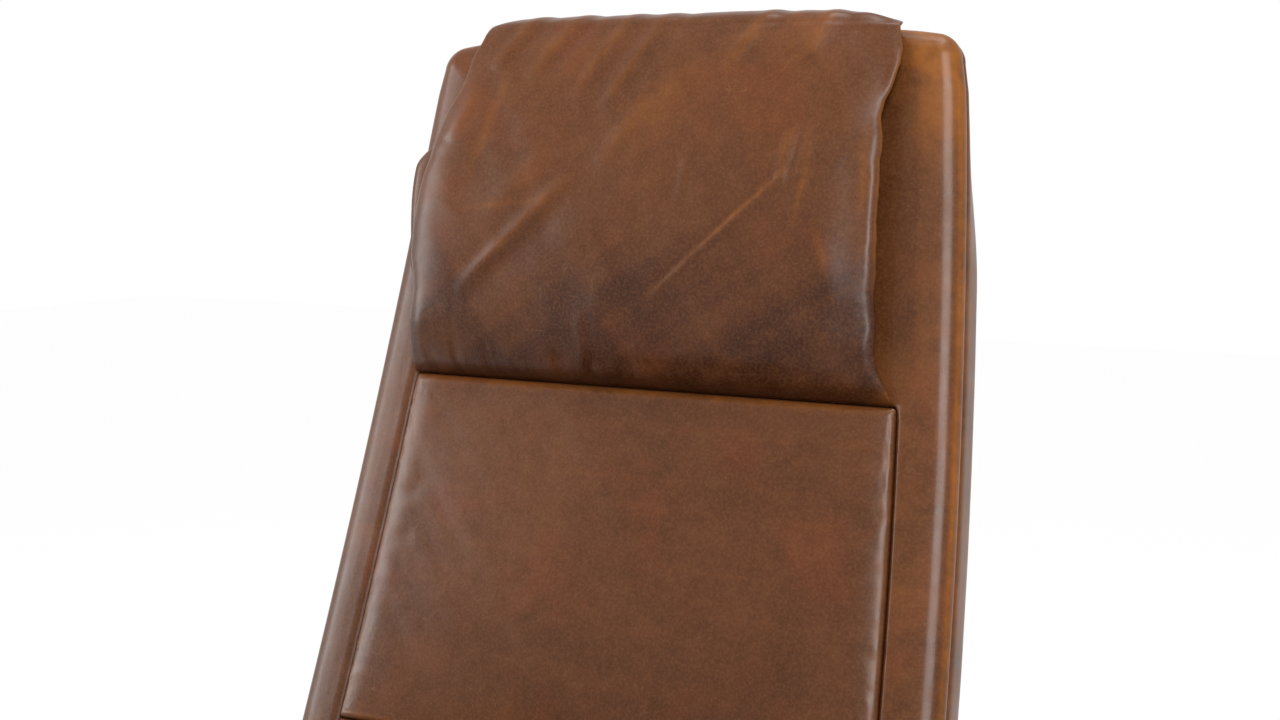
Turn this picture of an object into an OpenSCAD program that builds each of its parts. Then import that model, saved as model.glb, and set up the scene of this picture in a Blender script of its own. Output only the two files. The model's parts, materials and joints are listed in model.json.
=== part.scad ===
// Leather swivel recliner. The back reclines on friction hinges and takes the seat with it
// through a guide slot, and a sprung legrest swings out from under the seat and lengthens.
// Millimetres, +Z up. The sitter faces -Y. The origin is on the swivel axis at floor level.

/* [Base] */
// Radius of the round base plate
base_r = 300; // [280:5:330]
// Thickness of the base plate at its rim
base_rim_t = 7; // [5:1:10]
// Rise of the base plate from rim to middle
base_dome_h = 8; // [5:1:12]
// Thickness of the rubber pad under the base plate
floor_pad_t = 3; // [2:0.5:5]
// How far the rubber pad stops short of the rim
floor_pad_inset = 20; // [10:1:30]
// Outer radius of the column
column_r = 35; // [33:1:40]
// Wall of the column
column_wall = 8; // [6:0.5:9]
// Height of the column
column_h = 173; // [160:1:190]
// Radius of the flange at the column's foot
flange_r = 62; // [58:1:70]
// Thickness of the column's flange and of the swivel head
flange_t = 9; // [7:1:12]
// Shank radius of the flange bolts
flange_bolt_r = 4; // [3:0.5:5]

/* [Swivel] */
// Radius of the swivel spindle
spindle_r = 20; // [18:1:21]
// Length of the spindle inside the column
spindle_l = 80; // [70:1:95]
// Radius of the bearing balls
ball_r = 3; // [2.5:0.25:3.5]
// Thickness of each bearing ring
race_t = 3.5; // [3:0.5:5]
// Number of bearing balls
ball_count = 16; // [10:1:20]
// Radius of the swivel head
head_r = 85; // [75:1:95]

/* [Cradle] */
// Thickness of the cradle's plate and ears
cradle_t = 8; // [6:1:9]
// Half the distance between the cradle's ears, to their inner faces
ear_x = 112; // [108:1:116]
// Height of the tilt shaft above the cradle's plate
tilt_rise = 19; // [17:0.5:22]
// Distance of the tilt shaft in front of the swivel axis
tilt_y = 117; // [105:1:125]
// Radius of the tilt shaft
tilt_shaft_r = 9; // [8:0.5:10]

/* [Seat frame] */
// Slope of the seat, front edge up, in degrees
seat_pitch = 4; // [2:0.5:6]
// Distance from the tilt shaft back to the recline hinge, along the seat
hinge_back = 295; // [285:1:305]
// Height of the recline hinge above the tilt shaft, square to the seat
hinge_rise = 106; // [102:1:110]
// Length of the side rails
rail_l = 474; // [460:1:480]
// Width of every seat frame tube
rail_w = 25; // [22:1:28]
// Height of every seat frame tube
rail_h = 40; // [34:1:42]
// Wall of every seat frame tube
rail_wall = 3; // [2:0.5:4]
// Half the distance between the side rails, to their outer faces
rail_x = 240; // [236:1:244]
// Drop from the recline hinge to the top of the rails
rail_drop = 22; // [20:1:26]
// Thickness of the hinge brackets and tilt lugs
lug_t = 6; // [5:0.5:7]

/* [Seat] */
// Half the width of the seat cushion
seat_half_w = 258; // [250:1:259]
// Depth of the seat cushion
seat_depth = 500; // [485:5:505]
// Thickness of the seat cushion at its edge
seat_thick = 104; // [90:1:120]
// Rise of the seat cushion's crown
seat_crown = 14; // [6:1:22]
// Thickness of one layer of webbing
web_t = 2; // [1.5:0.25:2.5]

/* [Arms] */
// Thickness of an arm
arm_t = 66; // [56:1:76]
// Height of an arm's top above the rails, at its middle
arm_rise = 240; // [225:1:255]
// Drop of an arm's underside below the rails
arm_drop = 120; // [105:1:130]
// Length of an arm
arm_l = 500; // [480:1:510]
// Thickness of the wooden board inside an arm
arm_board_t = 18; // [15:1:21]

/* [Legrest] */
// Half the width of the legrest pad
legrest_half_w = 246; // [236:1:250]
// Length of the legrest pad
legrest_l = 258; // [240:1:265]
// Thickness of the legrest pad at its edge
legrest_pad_t = 32; // [26:1:40]
// Thickness of the legrest board
legrest_board_t = 12; // [9:1:15]
// How far the legrest slides out as it swings up
legrest_travel = 98; // [90:1:105]
// Angle through which the legrest swings, in degrees
legrest_swing = 98; // [90:1:100]
// Angle by which the stored legrest tucks in under the seat, in degrees
legrest_tuck = 8; // [6:0.5:9]

/* [Back] */
// Length of the back shell along its curve, above its foot
back_l = 724; // [700:1:760]
// Lean of the back at its foot, in degrees
lean_foot = 21.8; // [20:0.2:23]
// Lean of the back at its top, in degrees
lean_top = 11.3; // [8:0.1:14]
// Half the width of the back at its foot
back_w_foot = 301; // [292:1:305]
// Half the width of the back at mid height
back_w_mid = 280; // [275:1:284]
// Half the width of the back at its top
back_w_top = 248; // [244:1:254]
// Width of the leather border round the back's panels
border_w = 46; // [40:1:50]
// Depth of the back shell behind the panels' edge
shell_depth = 74; // [70:1:80]
// Wall of the back shell
shell_wall = 10; // [7:1:12]
// Rise of the back panels' crown
panel_crown = 16; // [8:1:22]
// Angle through which the back reclines, in degrees
recline_max = 36; // [30:1:38]
// Thickness of the head pillow in front of the back
pillow_t = 42; // [34:1:50]

/* [Hidden] */
// Play of a shaft in its bush, a seated gap between pieces, a gap between moving pieces, cuts
run_fit = 0.05;
seat_gap = 0.3;
move_gap = 3;
overrun = 1;
// Facets of round pieces
$fn = 64;

// Swivel stack, from the floor up
plate_z = floor_pad_t;
plate_top_z = plate_z + base_rim_t + base_dome_h;
plate_edge_r = 4;
column_top_z = plate_top_z + column_h;
race_z = column_top_z;
cage_t = ball_r;
bearing_h = 2 * race_t + 2 * ball_r + 2 * run_fit;
race_step = 2;
race_lip = 3;
race_in_r = spindle_r + race_step;
race_out_r = column_r + race_lip;
ball_ring_r = (race_in_r + race_out_r) / 2;
head_z = race_z + bearing_h;
cradle_z = head_z + flange_t;
cradle_top_z = cradle_z + cradle_t;
bush_h = 22;
tilt_bush_t = 2;
bolt_head_h = 4;
bolt_head_share = 1.8;
flange_bolt_ring_r = (column_r + flange_r) / 2;
head_bolt_ring_r = head_r - 3 * flange_bolt_r;
flange_bolt_count = 6;

// Axes across the chair, as [y, z]: tilt shaft, recline hinge, legrest hinge
tilt_axis = [-tilt_y, cradle_top_z + tilt_rise];
function turn(v, a) = [v[0] * cos(a) - v[1] * sin(a), v[0] * sin(a) + v[1] * cos(a)];
hinge_axis = tilt_axis + turn([hinge_back, hinge_rise], -seat_pitch);
function seat_point(v) = hinge_axis + turn(v, -seat_pitch);

// The seat's own frame: origin at the recline hinge, y backwards, z square to the seat
rail_top = -rail_drop;
rail_low = rail_top - rail_h;
rail_end = -12;
rail_front = rail_end - rail_l;
cross_front_y = rail_front + rail_w / 2;
cross_mid_y = -hinge_back;
cross_rear_gap = 106;
cross_rear_y = rail_end - cross_rear_gap;
bracket_r = 26;
web_low = rail_top;
web_top = web_low + 2 * web_t;
cushion_low = web_top + seat_gap;
cushion_rear_gap = 20;
cushion_rear = -(bracket_r + cushion_rear_gap);
cushion_front = cushion_rear - seat_depth;

// Recline hinge, outwards from the middle
torque_r = 14;
hinge_shaft_r = 10;
washer_t = 2.4;
washer_r = 24;
torque_x = rail_x - washer_t - 2 * seat_gap;
washer_out_x = rail_x + lug_t + seat_gap;
wheel_x = washer_out_x + washer_t + seat_gap;
wheel_t = 22;
wheel_r = 34;
wheel_lobes = 12;
wheel_lobe_r = 5;
cap_t = 3;
hinge_shaft_in = 40;

// Synchro guide: a crank on each hinge tube with a roller in a curved slot of the cradle's ear
tilt_share = 0.25;
crank_drop = 50;
crank_t = 8;
crank_gap = 4;
crank_x = ear_x + cradle_t + crank_gap;
guide_pin_r = 5;
roller_r = 8;
guide_play = 0.5;
guide_steps = 12;
guide_wall = 9;
function lean_back(v, a) = turn(v, -a);
function guide_at(a) = tilt_axis + lean_back(hinge_axis - tilt_axis, tilt_share * a)
    + lean_back([0, -crank_drop], (1 + tilt_share) * a);
// Centre of the circle through three points
function circle_centre(a, b, c) =
    let (u = b - a, v = c - a, d = 2 * (u[0] * v[1] - u[1] * v[0]),
         uu = u * u, vv = v * v)
    a + [v[1] * uu - u[1] * vv, u[0] * vv - v[0] * uu] / d;
guide_a = guide_at(0);
guide_b = guide_at(recline_max);
guide_c = circle_centre(guide_a, guide_at(recline_max / 2), guide_b);
guide_r = norm(guide_a - guide_c);
function guide_angle(p) = atan2(p[1] - guide_c[1], p[0] - guide_c[0]);
guide_dev = max([for (k = [0:guide_steps])
    abs(norm(guide_at(recline_max * k / guide_steps) - guide_c) - guide_r)]);
slot_r = roller_r + guide_dev + guide_play;
ear_guide_r = slot_r + guide_wall;

// Seat cushion
seat_corner_r = 44;
seat_pull = 5;
arm_gap = 4;
arm_x = max(rail_x + arm_gap, seat_half_w + arm_gap);
arm_out_x = arm_x + arm_t;
arm_rear_gap = 10;
arm_rear = cushion_rear - arm_rear_gap;
arm_front = arm_rear - arm_l;

// Legrest, in its own frame: origin at its hinge, d along the arms, f outwards
leg_shaft_r = 8;
leg_tube_r = 11;
leg_tube_wall = 2.6;
leg_rod_r = leg_tube_r - leg_tube_wall - seat_gap;
leg_hub_r = 15;
leg_x = 205;
leg_hub_t = 22;
leg_hub_gap = 4;
leg_y = rail_front - leg_hub_r - leg_hub_gap;
leg_z = rail_low + rail_h / 2;
leg_tube_end = 228;
leg_rod_start = 56;
leg_block_t = 14;
leg_plug = 5;
leg_board_gap = 5;
leg_board_f = leg_tube_r + leg_board_gap;
leg_pad_f = leg_board_f + legrest_board_t + seat_gap;
leg_near = -10;
leg_board_inset = 6;
leg_bar_d = 150;
leg_bar_r = 6;
leg_rate = legrest_travel / legrest_swing;
leg_axis = seat_point([leg_y, leg_z]);
spring_turns = 7;
spring_wire_r = 1.4;
spring_gap = 0.7;
spring_pitch = 2 * spring_wire_r + spring_gap;
spring_x = leg_x - leg_hub_t / 2 - seat_gap;
spring_l = spring_turns * spring_pitch + 4 * spring_wire_r;
leg_lug_x = spring_x - spring_l - seat_gap;
curl_steps = 8;
spring_r = (leg_shaft_r + spring_wire_r + seat_gap) / cos(180 / curl_steps);
wire_sides = 6;
ratchet_r = 18;
ratchet_t = 6;
ratchet_x = legrest_half_w + move_gap;
ratchet_teeth = 24;
ratchet_tooth = 3;

// Release lever, its shaft and pawl, in the seat's frame
lever_shaft_r = 6;
lever_behind = 62;
lever_below = 44;
lever_y = leg_y + lever_behind;
lever_z = leg_z - lever_below;
lever_l = 112;
lever_t = 9;
lever_h = 24;
bezel_r = 25;
bezel_t = 4;
lever_swing = 25;
pawl_gap = 0.6;
pawl_hub_wall = 6;
pawl_tip = 2;
lever_hub_step = 4;

// Back, on a curve of length s from its foot, with n the distance in front of the curve
foot_y = -7;
foot_z = 92;
bend = (lean_foot - lean_top) / back_l;
bend_r = 180 / (PI * bend);
foot_axis = hinge_axis + [foot_y, foot_z];
function lean_at(s) = lean_foot - bend * s;
function curve_at(s, n) = foot_axis
    + bend_r * [cos(lean_at(s)) - cos(lean_foot), sin(lean_foot) - sin(lean_at(s))]
    + n * [-cos(lean_at(s)), sin(lean_at(s))];
function back_point(x, s, n) = [x, curve_at(s, n)[0], curve_at(s, n)[1]];
function back_w(s) = let (t = s / back_l)
    back_w_foot * (1 - t) * (1 - 2 * t) + back_w_mid * 4 * t * (1 - t) + back_w_top * t * (2 * t - 1);

shell_foot = -45;
seam_n = -17;
panel_n = 7;
shell_rear_n = panel_n - shell_depth;
shell_corner_r = 46;
shell_top_r = 24;
border_corner_r = 16;
head_seam_s = 416;
lumbar_seam_s = 102;
lumbar_foot_s = 2;
panel_seam_gap = 1;
stile_r = 11;
stile_x = 182;
stile_gap = 9;
stile_n = shell_rear_n + shell_wall + stile_r + stile_gap;
// The stiles stand on the hinge tubes: where the hinge lies along the curve, and a tube's radius
hinge_spoke = hinge_axis - curve_at(0, bend_r);
hinge_s = (lean_foot - atan2(-hinge_spoke[1], hinge_spoke[0])) / bend;
stile_foot_s = hinge_s + torque_r + seat_gap;
stile_top_gap = 32;
stile_top_s = back_l - shell_wall - stile_top_gap;
stile_hole = 2;
crossbar_r = 7;
crossbar_shares = [0.1, 0.5, 0.93];
belt_h = 44;
belt_count = 8;
belt_n = stile_n + stile_r + seat_gap;
belt_x = stile_x + stile_r;
panel_rear_n = belt_n + web_t + seat_gap;

// Head pillow: a soft flap sewn in at the head seam, over the top and down behind
pillow_edge_t = 6;
pillow_top_t = 15;
pillow_rear_l = 190;
pillow_rear_t = 26;
pillow_clear = seat_gap;

// How finely the soft forms are divided
edge_steps = 3;
corner_steps = 3;
side_steps = 8;
// How far the ends of the soft forms bow out: cushions, the back's shell and its panels
soft_bow = 5;
shell_bow = 3;
panel_bow = -1;

// Sides of the chair: the sitter's left is +X
module mirrored(side) {
    if (side > 0) children();
    else mirror([1, 0, 0]) children();
}
module both_sides() {
    children();
    mirror([1, 0, 0]) children();
}
// A cylinder along X from a to b
module rod_x(a, b, r) {
    translate([a, 0, 0]) rotate([0, 90, 0]) cylinder(r = r, h = b - a);
}
// A plate across X, its outline in y and z, from a to b
module plate_x(a, b) {
    translate([a, 0, 0]) rotate([90, 0, 90]) linear_extrude(b - a) children();
}
module at_axis(p) {
    translate([0, p[0], p[1]]) children();
}
// Into the seat's frame, whose origin is the recline hinge
module on_seat() {
    at_axis(hinge_axis) rotate([-seat_pitch, 0, 0]) children();
}
// Into the legrest's frame: -z runs along its arms and -y outwards
module on_legrest() {
    on_seat() translate([0, leg_y, leg_z]) rotate([legrest_tuck, 0, 0]) children();
}
// On to the back's curve at s, with y backwards and z up along the curve
module on_back(s, n = 0) {
    at_axis(curve_at(s, n)) rotate([-lean_at(s), 0, 0]) children();
}
// A sweep along the back's curve at distance n, from s = a to s = b, of a shape round x = 0
module back_arc(a, b, n) {
    at_axis(curve_at(0, bend_r)) rotate([90, 0, 90]) rotate([0, 0, -lean_at(a)])
        rotate_extrude(angle = bend * (b - a), $fn = 256) translate([bend_r - n, 0]) children();
}

// Soft forms: rings of points stacked into one closed skin.
// Point k of a ring faces point (size - 1 - k), and the two ends close as ladders of those pairs.
function ring_join(a, b, m, i) = [for (k = [0:m - 1])
    each [[a + k, a + (k + 1) % m, b + k], [a + (k + 1) % m, b + (k + 1) % m, b + k]]];
function ladder(a, m) = [for (k = [0:m / 2 - 2])
    each [[a + k, a + m - 1 - k, a + k + 1], [a + m - 1 - k, a + m - 2 - k, a + k + 1]]];
function turned(faces) = [for (f = faces) [f[2], f[1], f[0]]];
module ring_stack(rings) {
    m = len(rings[0]);
    last = len(rings) - 1;
    polyhedron(
        points = [for (r = rings) each r],
        faces = concat(
            [for (i = [0:last - 1]) each ring_join(i * m, (i + 1) * m, m)],
            ladder(0, m),
            turned(ladder(last * m, m))));
}
// Rings joined end to end, as a frame with a window
module ring_loop(rings) {
    m = len(rings[0]);
    count = len(rings);
    polyhedron(
        points = [for (r = rings) each r],
        faces = [for (i = [0:count - 1]) each ring_join(i * m, ((i + 1) % count) * m, m)]);
}
// Half outline of a soft form between lo and hi, of half width wide(s), taken in by inset.
// Its ends bow out by bow, and its long sides are drawn in by pull between the corners.
// Its corners have the radius r at lo and r_hi at hi
function bowed(u, bow) = bow * (1 - u * u);
function taken_in(r, inset) = max(r - inset, r / 4);
function half_outline(lo, hi, wide, r, inset, bow, pull = 0, r_hi = undef) =
    let (ra = taken_in(r, inset), rb = taken_in(is_undef(r_hi) ? r : r_hi, inset),
         a = lo + inset, b = hi - inset, wa = wide(a) - inset - ra, wb = wide(b) - inset - rb)
    concat(
        [for (k = [0:edge_steps - 1]) let (u = (k + 0.5) / edge_steps) [wa * u, a - bowed(u, bow)]],
        [for (k = [0:corner_steps]) let (t = 90 * k / corner_steps)
            [wa + ra * sin(t), a + ra - ra * cos(t)]],
        [for (k = [1:side_steps - 1]) let (s = a + ra + (b - a - ra - rb) * k / side_steps)
            [wide(s) - inset - pull * sin(180 * k / side_steps), s]],
        [for (k = [0:corner_steps]) let (t = 90 * k / corner_steps)
            [wb + rb * cos(t), b - rb + rb * sin(t)]],
        [for (k = [edge_steps - 1:-1:0]) let (u = (k + 0.5) / edge_steps)
            [wb * u, b + bowed(u, bow)]]);
function full_outline(half) = concat(half,
    [for (k = [len(half) - 1:-1:0]) [-half[k][0], half[k][1]]]);
// A ring on the back: outline points carried on to the curve at distance n
function back_ring(lo, hi, wide, r, inset, bow, n, r_hi = undef) =
    [for (p = full_outline(half_outline(lo, hi, wide, r, inset, bow, 0, r_hi)))
        back_point(p[0], p[1], n)];
// The same for the shell and its border, whose outer edge is the back's outline
function shell_ring(inset, n, r = shell_corner_r, r_hi = shell_top_r) =
    back_ring(shell_foot, back_l, function(s) back_w(s), r, inset, shell_bow, n, r_hi);

// Base, fixed to the floor side of the swivel
module floor_pad() {
    color("dimgray") cylinder(r = base_r - floor_pad_inset, h = floor_pad_t, $fn = 128);
}
module base_plate() {
    color("silver") translate([0, 0, plate_z]) rotate_extrude($fn = 128) polygon([
        [0, 0], [base_r - plate_edge_r / 2, 0], [base_r, plate_edge_r / 2],
        [base_r, base_rim_t - plate_edge_r / 2], [base_r - plate_edge_r / 2, base_rim_t],
        [flange_r + plate_edge_r, base_rim_t + base_dome_h], [0, base_rim_t + base_dome_h]]);
}
module ring(z, h, ro, ri) {
    translate([0, 0, z]) difference() {
        cylinder(r = ro, h = h);
        translate([0, 0, -overrun]) cylinder(r = ri, h = h + 2 * overrun);
    }
}
module bolt_places(r, count) {
    for (k = [0:count - 1]) rotate([0, 0, 360 * k / count]) translate([r, 0, 0]) children();
}
// The column has its foot flange welded on
module base_column() {
    color("silver") difference() {
        union() {
            translate([0, 0, plate_top_z]) cylinder(r = column_r, h = column_h);
            translate([0, 0, plate_top_z]) cylinder(r = flange_r, h = flange_t);
        }
        translate([0, 0, plate_top_z - overrun])
            cylinder(r = column_r - column_wall, h = column_h + 2 * overrun);
        bolt_places(flange_bolt_ring_r, flange_bolt_count)
            translate([0, 0, plate_top_z - overrun])
            cylinder(r = flange_bolt_r, h = flange_t + 2 * overrun);
    }
}
module bolt_down(z, shank) {
    translate([0, 0, z]) union() {
        translate([0, 0, -shank]) cylinder(r = flange_bolt_r - run_fit, h = shank);
        cylinder(r = flange_bolt_r * bolt_head_share, h = bolt_head_h);
    }
}
module flange_bolts() {
    color("gray") bolt_places(flange_bolt_ring_r, flange_bolt_count)
        bolt_down(plate_top_z + flange_t, flange_t);
}
module swivel_bushes() {
    color("ivory") for (z = [column_top_z - bush_h, column_top_z - spindle_l + bush_h / 2])
        ring(z, bush_h, column_r - column_wall, spindle_r + run_fit);
}
module bearing_ring_lower() {
    color("lightgray") ring(race_z, race_t, race_out_r, race_in_r);
}
module bearing_balls() {
    color("lightgray") bolt_places(ball_ring_r, ball_count)
        translate([0, 0, race_z + race_t + run_fit + ball_r]) sphere(r = ball_r, $fn = 24);
}
module ball_cage() {
    cage_z = race_z + race_t + run_fit + ball_r - cage_t / 2;
    color("ivory") difference() {
        ring(cage_z, cage_t, race_out_r - overrun, race_in_r + overrun);
        bolt_places(ball_ring_r, ball_count)
            translate([0, 0, cage_z - overrun])
            cylinder(r = ball_r + run_fit, h = cage_t + 2 * overrun);
    }
}

// Cradle, on the upper side of the swivel
module bearing_ring_upper() {
    color("lightgray") ring(head_z - race_t, race_t, race_out_r, race_in_r);
}
module swivel_spindle() {
    color("gray") translate([0, 0, column_top_z - spindle_l])
        cylinder(r = spindle_r, h = spindle_l + bearing_h);
}
module swivel_head() {
    color("darkslategray") difference() {
        translate([0, 0, head_z]) cylinder(r = head_r, h = flange_t);
        bolt_places(head_bolt_ring_r, flange_bolt_count)
            translate([0, 0, head_z - overrun])
            cylinder(r = flange_bolt_r, h = flange_t + 2 * overrun);
    }
}
module head_bolts() {
    color("gray") bolt_places(head_bolt_ring_r, flange_bolt_count)
        bolt_down(cradle_top_z, cradle_t + flange_t);
}
// Outline of a band along the roller's whole path, of half width r
guide_cap_steps = 12;
function guide_band(r) =
    let (aa = guide_angle(guide_a), ab = guide_angle(guide_b), n = guide_steps, m = guide_cap_steps)
    concat(
        [for (k = [0:n]) let (a = ab + (aa - ab) * k / n)
            guide_c + (guide_r + r) * [cos(a), sin(a)]],
        [for (k = [1:m - 1]) let (a = aa + 180 * k / m) guide_a + r * [cos(a), sin(a)]],
        [for (k = [0:n]) let (a = aa + (ab - aa) * k / n)
            guide_c + (guide_r - r) * [cos(a), sin(a)]],
        [for (k = [1:m - 1]) let (a = ab + 180 + 180 * k / m) guide_b + r * [cos(a), sin(a)]]);
ear_boss_wall = 10;
ear_boss_r = tilt_shaft_r + ear_boss_wall;
ear_low_h = 10;
cradle_front = tilt_axis[0] - ear_boss_r;
cradle_rear = guide_a[0] + ear_guide_r;
module cradle_plate() {
    color("darkslategray") difference() {
        translate([-(ear_x + cradle_t), cradle_front, cradle_z])
            cube([2 * (ear_x + cradle_t), cradle_rear - cradle_front, cradle_t]);
        bolt_places(head_bolt_ring_r, flange_bolt_count)
            translate([0, 0, cradle_z - overrun])
            cylinder(r = flange_bolt_r, h = cradle_t + 2 * overrun);
    }
}
// An ear: low in the middle, a boss at the tilt shaft, a guide for the roller behind
module cradle_ear() {
    guide_front = guide_b[0] - ear_guide_r;
    difference() {
        plate_x(ear_x, ear_x + cradle_t) difference() {
            union() {
                translate([cradle_front, cradle_top_z])
                    square([cradle_rear - cradle_front, ear_low_h]);
                translate([cradle_front, cradle_top_z]) square([2 * ear_boss_r, tilt_rise]);
                translate(tilt_axis) circle(r = ear_boss_r);
                translate([guide_front, cradle_top_z])
                    square([cradle_rear - guide_front, guide_b[1] - cradle_top_z]);
                polygon(guide_band(ear_guide_r));
            }
            polygon(guide_band(slot_r));
        }
        at_axis(tilt_axis)
            rod_x(ear_x - overrun, ear_x + cradle_t + overrun, tilt_shaft_r + tilt_bush_t);
    }
}
module cradle_ear_left() { color("darkslategray") cradle_ear(); }
module cradle_ear_right() { color("darkslategray") mirrored(-1) cradle_ear(); }
module tilt_bushes() {
    color("ivory") both_sides() at_axis(tilt_axis) difference() {
        rod_x(ear_x, ear_x + cradle_t, tilt_shaft_r + tilt_bush_t);
        rod_x(ear_x - overrun, ear_x + cradle_t + overrun, tilt_shaft_r + run_fit);
    }
}

// Seat body
lug_x = ear_x + cradle_t + move_gap;
lug_wall = 9;
tilt_shaft_proud = 5;
module tilt_shaft() {
    end = lug_x + lug_t + tilt_shaft_proud;
    color("gray") at_axis(tilt_axis) rod_x(-end, end, tilt_shaft_r);
}
module tilt_lugs() {
    lug_r = tilt_shaft_r + lug_wall;
    color("darkslategray") both_sides() on_seat() translate([0, -hinge_back, -hinge_rise])
        difference() {
            plate_x(lug_x, lug_x + lug_t) union() {
                circle(r = lug_r);
                translate([-lug_r, 0]) square([2 * lug_r, hinge_rise + rail_low]);
            }
            rod_x(lug_x - overrun, lug_x + lug_t + overrun, tilt_shaft_r);
        }
}
// Places of the bolts that hold an arm, in the seat's frame
arm_bolt_r = 4;
arm_bolt_shares = [0, 0.5, 1];
arm_bolt_from_rear = 22;
arm_bolt_from_front = 76;
arm_bolt_first_y = arm_rear - arm_bolt_from_rear;
arm_bolt_last_y = rail_front + arm_bolt_from_front;
function arm_bolt_y(share) = arm_bolt_first_y + (arm_bolt_last_y - arm_bolt_first_y) * share;
arm_bolt_z = (rail_top + rail_low) / 2;
module arm_bolt_holes(a, b, r) {
    for (share = arm_bolt_shares) translate([0, arm_bolt_y(share), arm_bolt_z]) rod_x(a, b, r);
}
module seat_rail() {
    difference() {
        union() {
            translate([rail_x - rail_w, rail_front, rail_low]) cube([rail_w, rail_l, rail_h]);
            plate_x(rail_x, rail_x + lug_t) union() {
                polygon([
                    [rail_end - 4 * bracket_r, rail_low], [rail_end, rail_low],
                    [bracket_r, 0], [-bracket_r, 0], [-2 * bracket_r, rail_top],
                    [rail_end - 4 * bracket_r, rail_top]]);
                circle(r = bracket_r);
            }
        }
        rod_x(rail_x - overrun, rail_x + lug_t + overrun, hinge_shaft_r + run_fit);
        translate([rail_x - rail_w + rail_wall, rail_front - overrun, rail_low + rail_wall])
            cube([rail_w - 2 * rail_wall, rail_l + 2 * overrun, rail_h - 2 * rail_wall]);
        arm_bolt_holes(rail_x - rail_w - overrun, rail_x + lug_t + overrun, arm_bolt_r);
    }
}
module seat_rail_left() {
    color("darkslategray") on_seat() seat_rail();
}
module seat_rail_right() {
    color("darkslategray") on_seat() mirrored(-1) seat_rail();
}
module seat_crossbar(y) {
    half = rail_x - rail_w;
    color("darkslategray") on_seat() translate([0, y - rail_w / 2, rail_low]) difference() {
        translate([-half, 0, 0]) cube([2 * half, rail_w, rail_h]);
        translate([-half - overrun, rail_wall, rail_wall])
            cube([2 * (half + overrun), rail_w - 2 * rail_wall, rail_h - 2 * rail_wall]);
    }
}
// The front crossbar carries the lugs of the legrest's shaft
leg_lug_wall = 6;
module seat_crossbar_front() {
    lug_r = leg_shaft_r + leg_lug_wall;
    seat_crossbar(cross_front_y);
    color("darkslategray") both_sides() on_seat() translate([0, leg_y, leg_z]) difference() {
        plate_x(leg_lug_x - lug_t, leg_lug_x) union() {
            circle(r = lug_r);
            translate([0, -lug_r]) square([rail_front - leg_y, 2 * lug_r]);
        }
        rod_x(leg_lug_x - lug_t - overrun, leg_lug_x + overrun, leg_shaft_r + run_fit);
    }
}
module seat_crossbar_mid() {
    seat_crossbar(cross_mid_y);
}
module seat_crossbar_rear() {
    seat_crossbar(cross_rear_y);
}
web_shares = [0.08, 0.25, 0.42, 0.59, 0.76, 0.93];
web_w = 50;
web_long_shares = [-0.6, -0.2, 0.2, 0.6];
module seat_webbing() {
    run = cushion_rear - rail_front;
    color("black") on_seat() union() {
        for (share = web_shares)
            translate([-rail_x, cushion_rear - run * share - web_w / 2, web_low])
                cube([2 * rail_x, web_w, web_t]);
        for (share = web_long_shares)
            translate([rail_x * share - web_w / 2, rail_front, web_low + web_t])
                cube([web_w, run, web_t]);
    }
}
apron_t = 8;
apron_gap = 2;
module seat_front_apron() {
    half = leg_lug_x - lug_t - apron_gap;
    color("saddlebrown") on_seat() translate([-half, rail_front - apron_t, rail_low])
        cube([2 * half, apron_t, rail_h]);
}
// Levels of a cushion as shares of its thickness, corner radius, side pull and crown
cushion_level_shares = [
    [0, 0.32, 0, 0], [0.06, 0.07, 0, 0], [0.3, 0.02, 1, 0], [0.5, 0.05, 1, 0], [0.78, 0, 0.3, 0],
    [0.92, 0.11, 0, 0], [1, 0.41, 0, 0.1], [1, 1.05, 0, 0.5], [1, 2.05, 0, 0.85], [1, 3.4, 0, 1]];
function seat_ring(l) = [for (p = full_outline(half_outline(
        cushion_front, cushion_rear, function(s) seat_half_w, seat_corner_r, l[1] * seat_corner_r,
        soft_bow, l[2] * seat_pull)))
    [p[0], p[1], cushion_low + l[0] * seat_thick + l[3] * seat_crown]];
module seat_cushion() {
    color("saddlebrown") on_seat() ring_stack([for (l = cushion_level_shares) seat_ring(l)]);
}

// Arms. The outline runs along the top from front to rear, then back along the underside
arm_steps = 9;
arm_end_r = 34;
arm_front_dip = 20;
arm_rear_dip = 66;
arm_foot_rise = 34;
arm_edge = 5;
collar_wall = 5;
// Height of the top edge and of the underside at a share of the arm's length
function arm_top(t) = rail_top + arm_rise - arm_front_dip * pow(1 - t, 3) - arm_rear_dip * pow(t, 4);
function arm_low(t) = rail_low - arm_drop + arm_foot_rise * t;
function arm_ring(x, inset) =
    let (r = arm_end_r - inset / 2,
         f = arm_front + inset, e = arm_rear - inset,
         ft = arm_top(0) - inset, fl = arm_low(0) + inset,
         et = arm_top(1) - inset, el = arm_low(1) + inset)
    concat(
        [for (k = [0:corner_steps]) let (a = 90 * k / corner_steps)
            [x, f + r - r * cos(a), ft - r + r * sin(a)]],
        [for (k = [1:arm_steps - 1]) let (t = k / arm_steps)
            [x, f + r + (e - f - 2 * r) * t, arm_top(t) - inset]],
        [for (k = [0:corner_steps]) let (a = 90 * k / corner_steps)
            [x, e - r + r * sin(a), et - r + r * cos(a)]],
        [for (k = [0:corner_steps]) let (a = 90 * k / corner_steps)
            [x, e - r + r * cos(a), el + r - r * sin(a)]],
        [for (k = [arm_steps - 1:-1:1]) let (t = k / arm_steps)
            [x, f + r + (e - f - 2 * r) * t, arm_low(t) + inset]],
        [for (k = [0:corner_steps]) let (a = 90 * k / corner_steps)
            [x, f + r - r * sin(a), fl + r - r * cos(a)]]);
arm_inner_t = (arm_t - arm_board_t) / 2;
board_inset = 14;
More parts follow.
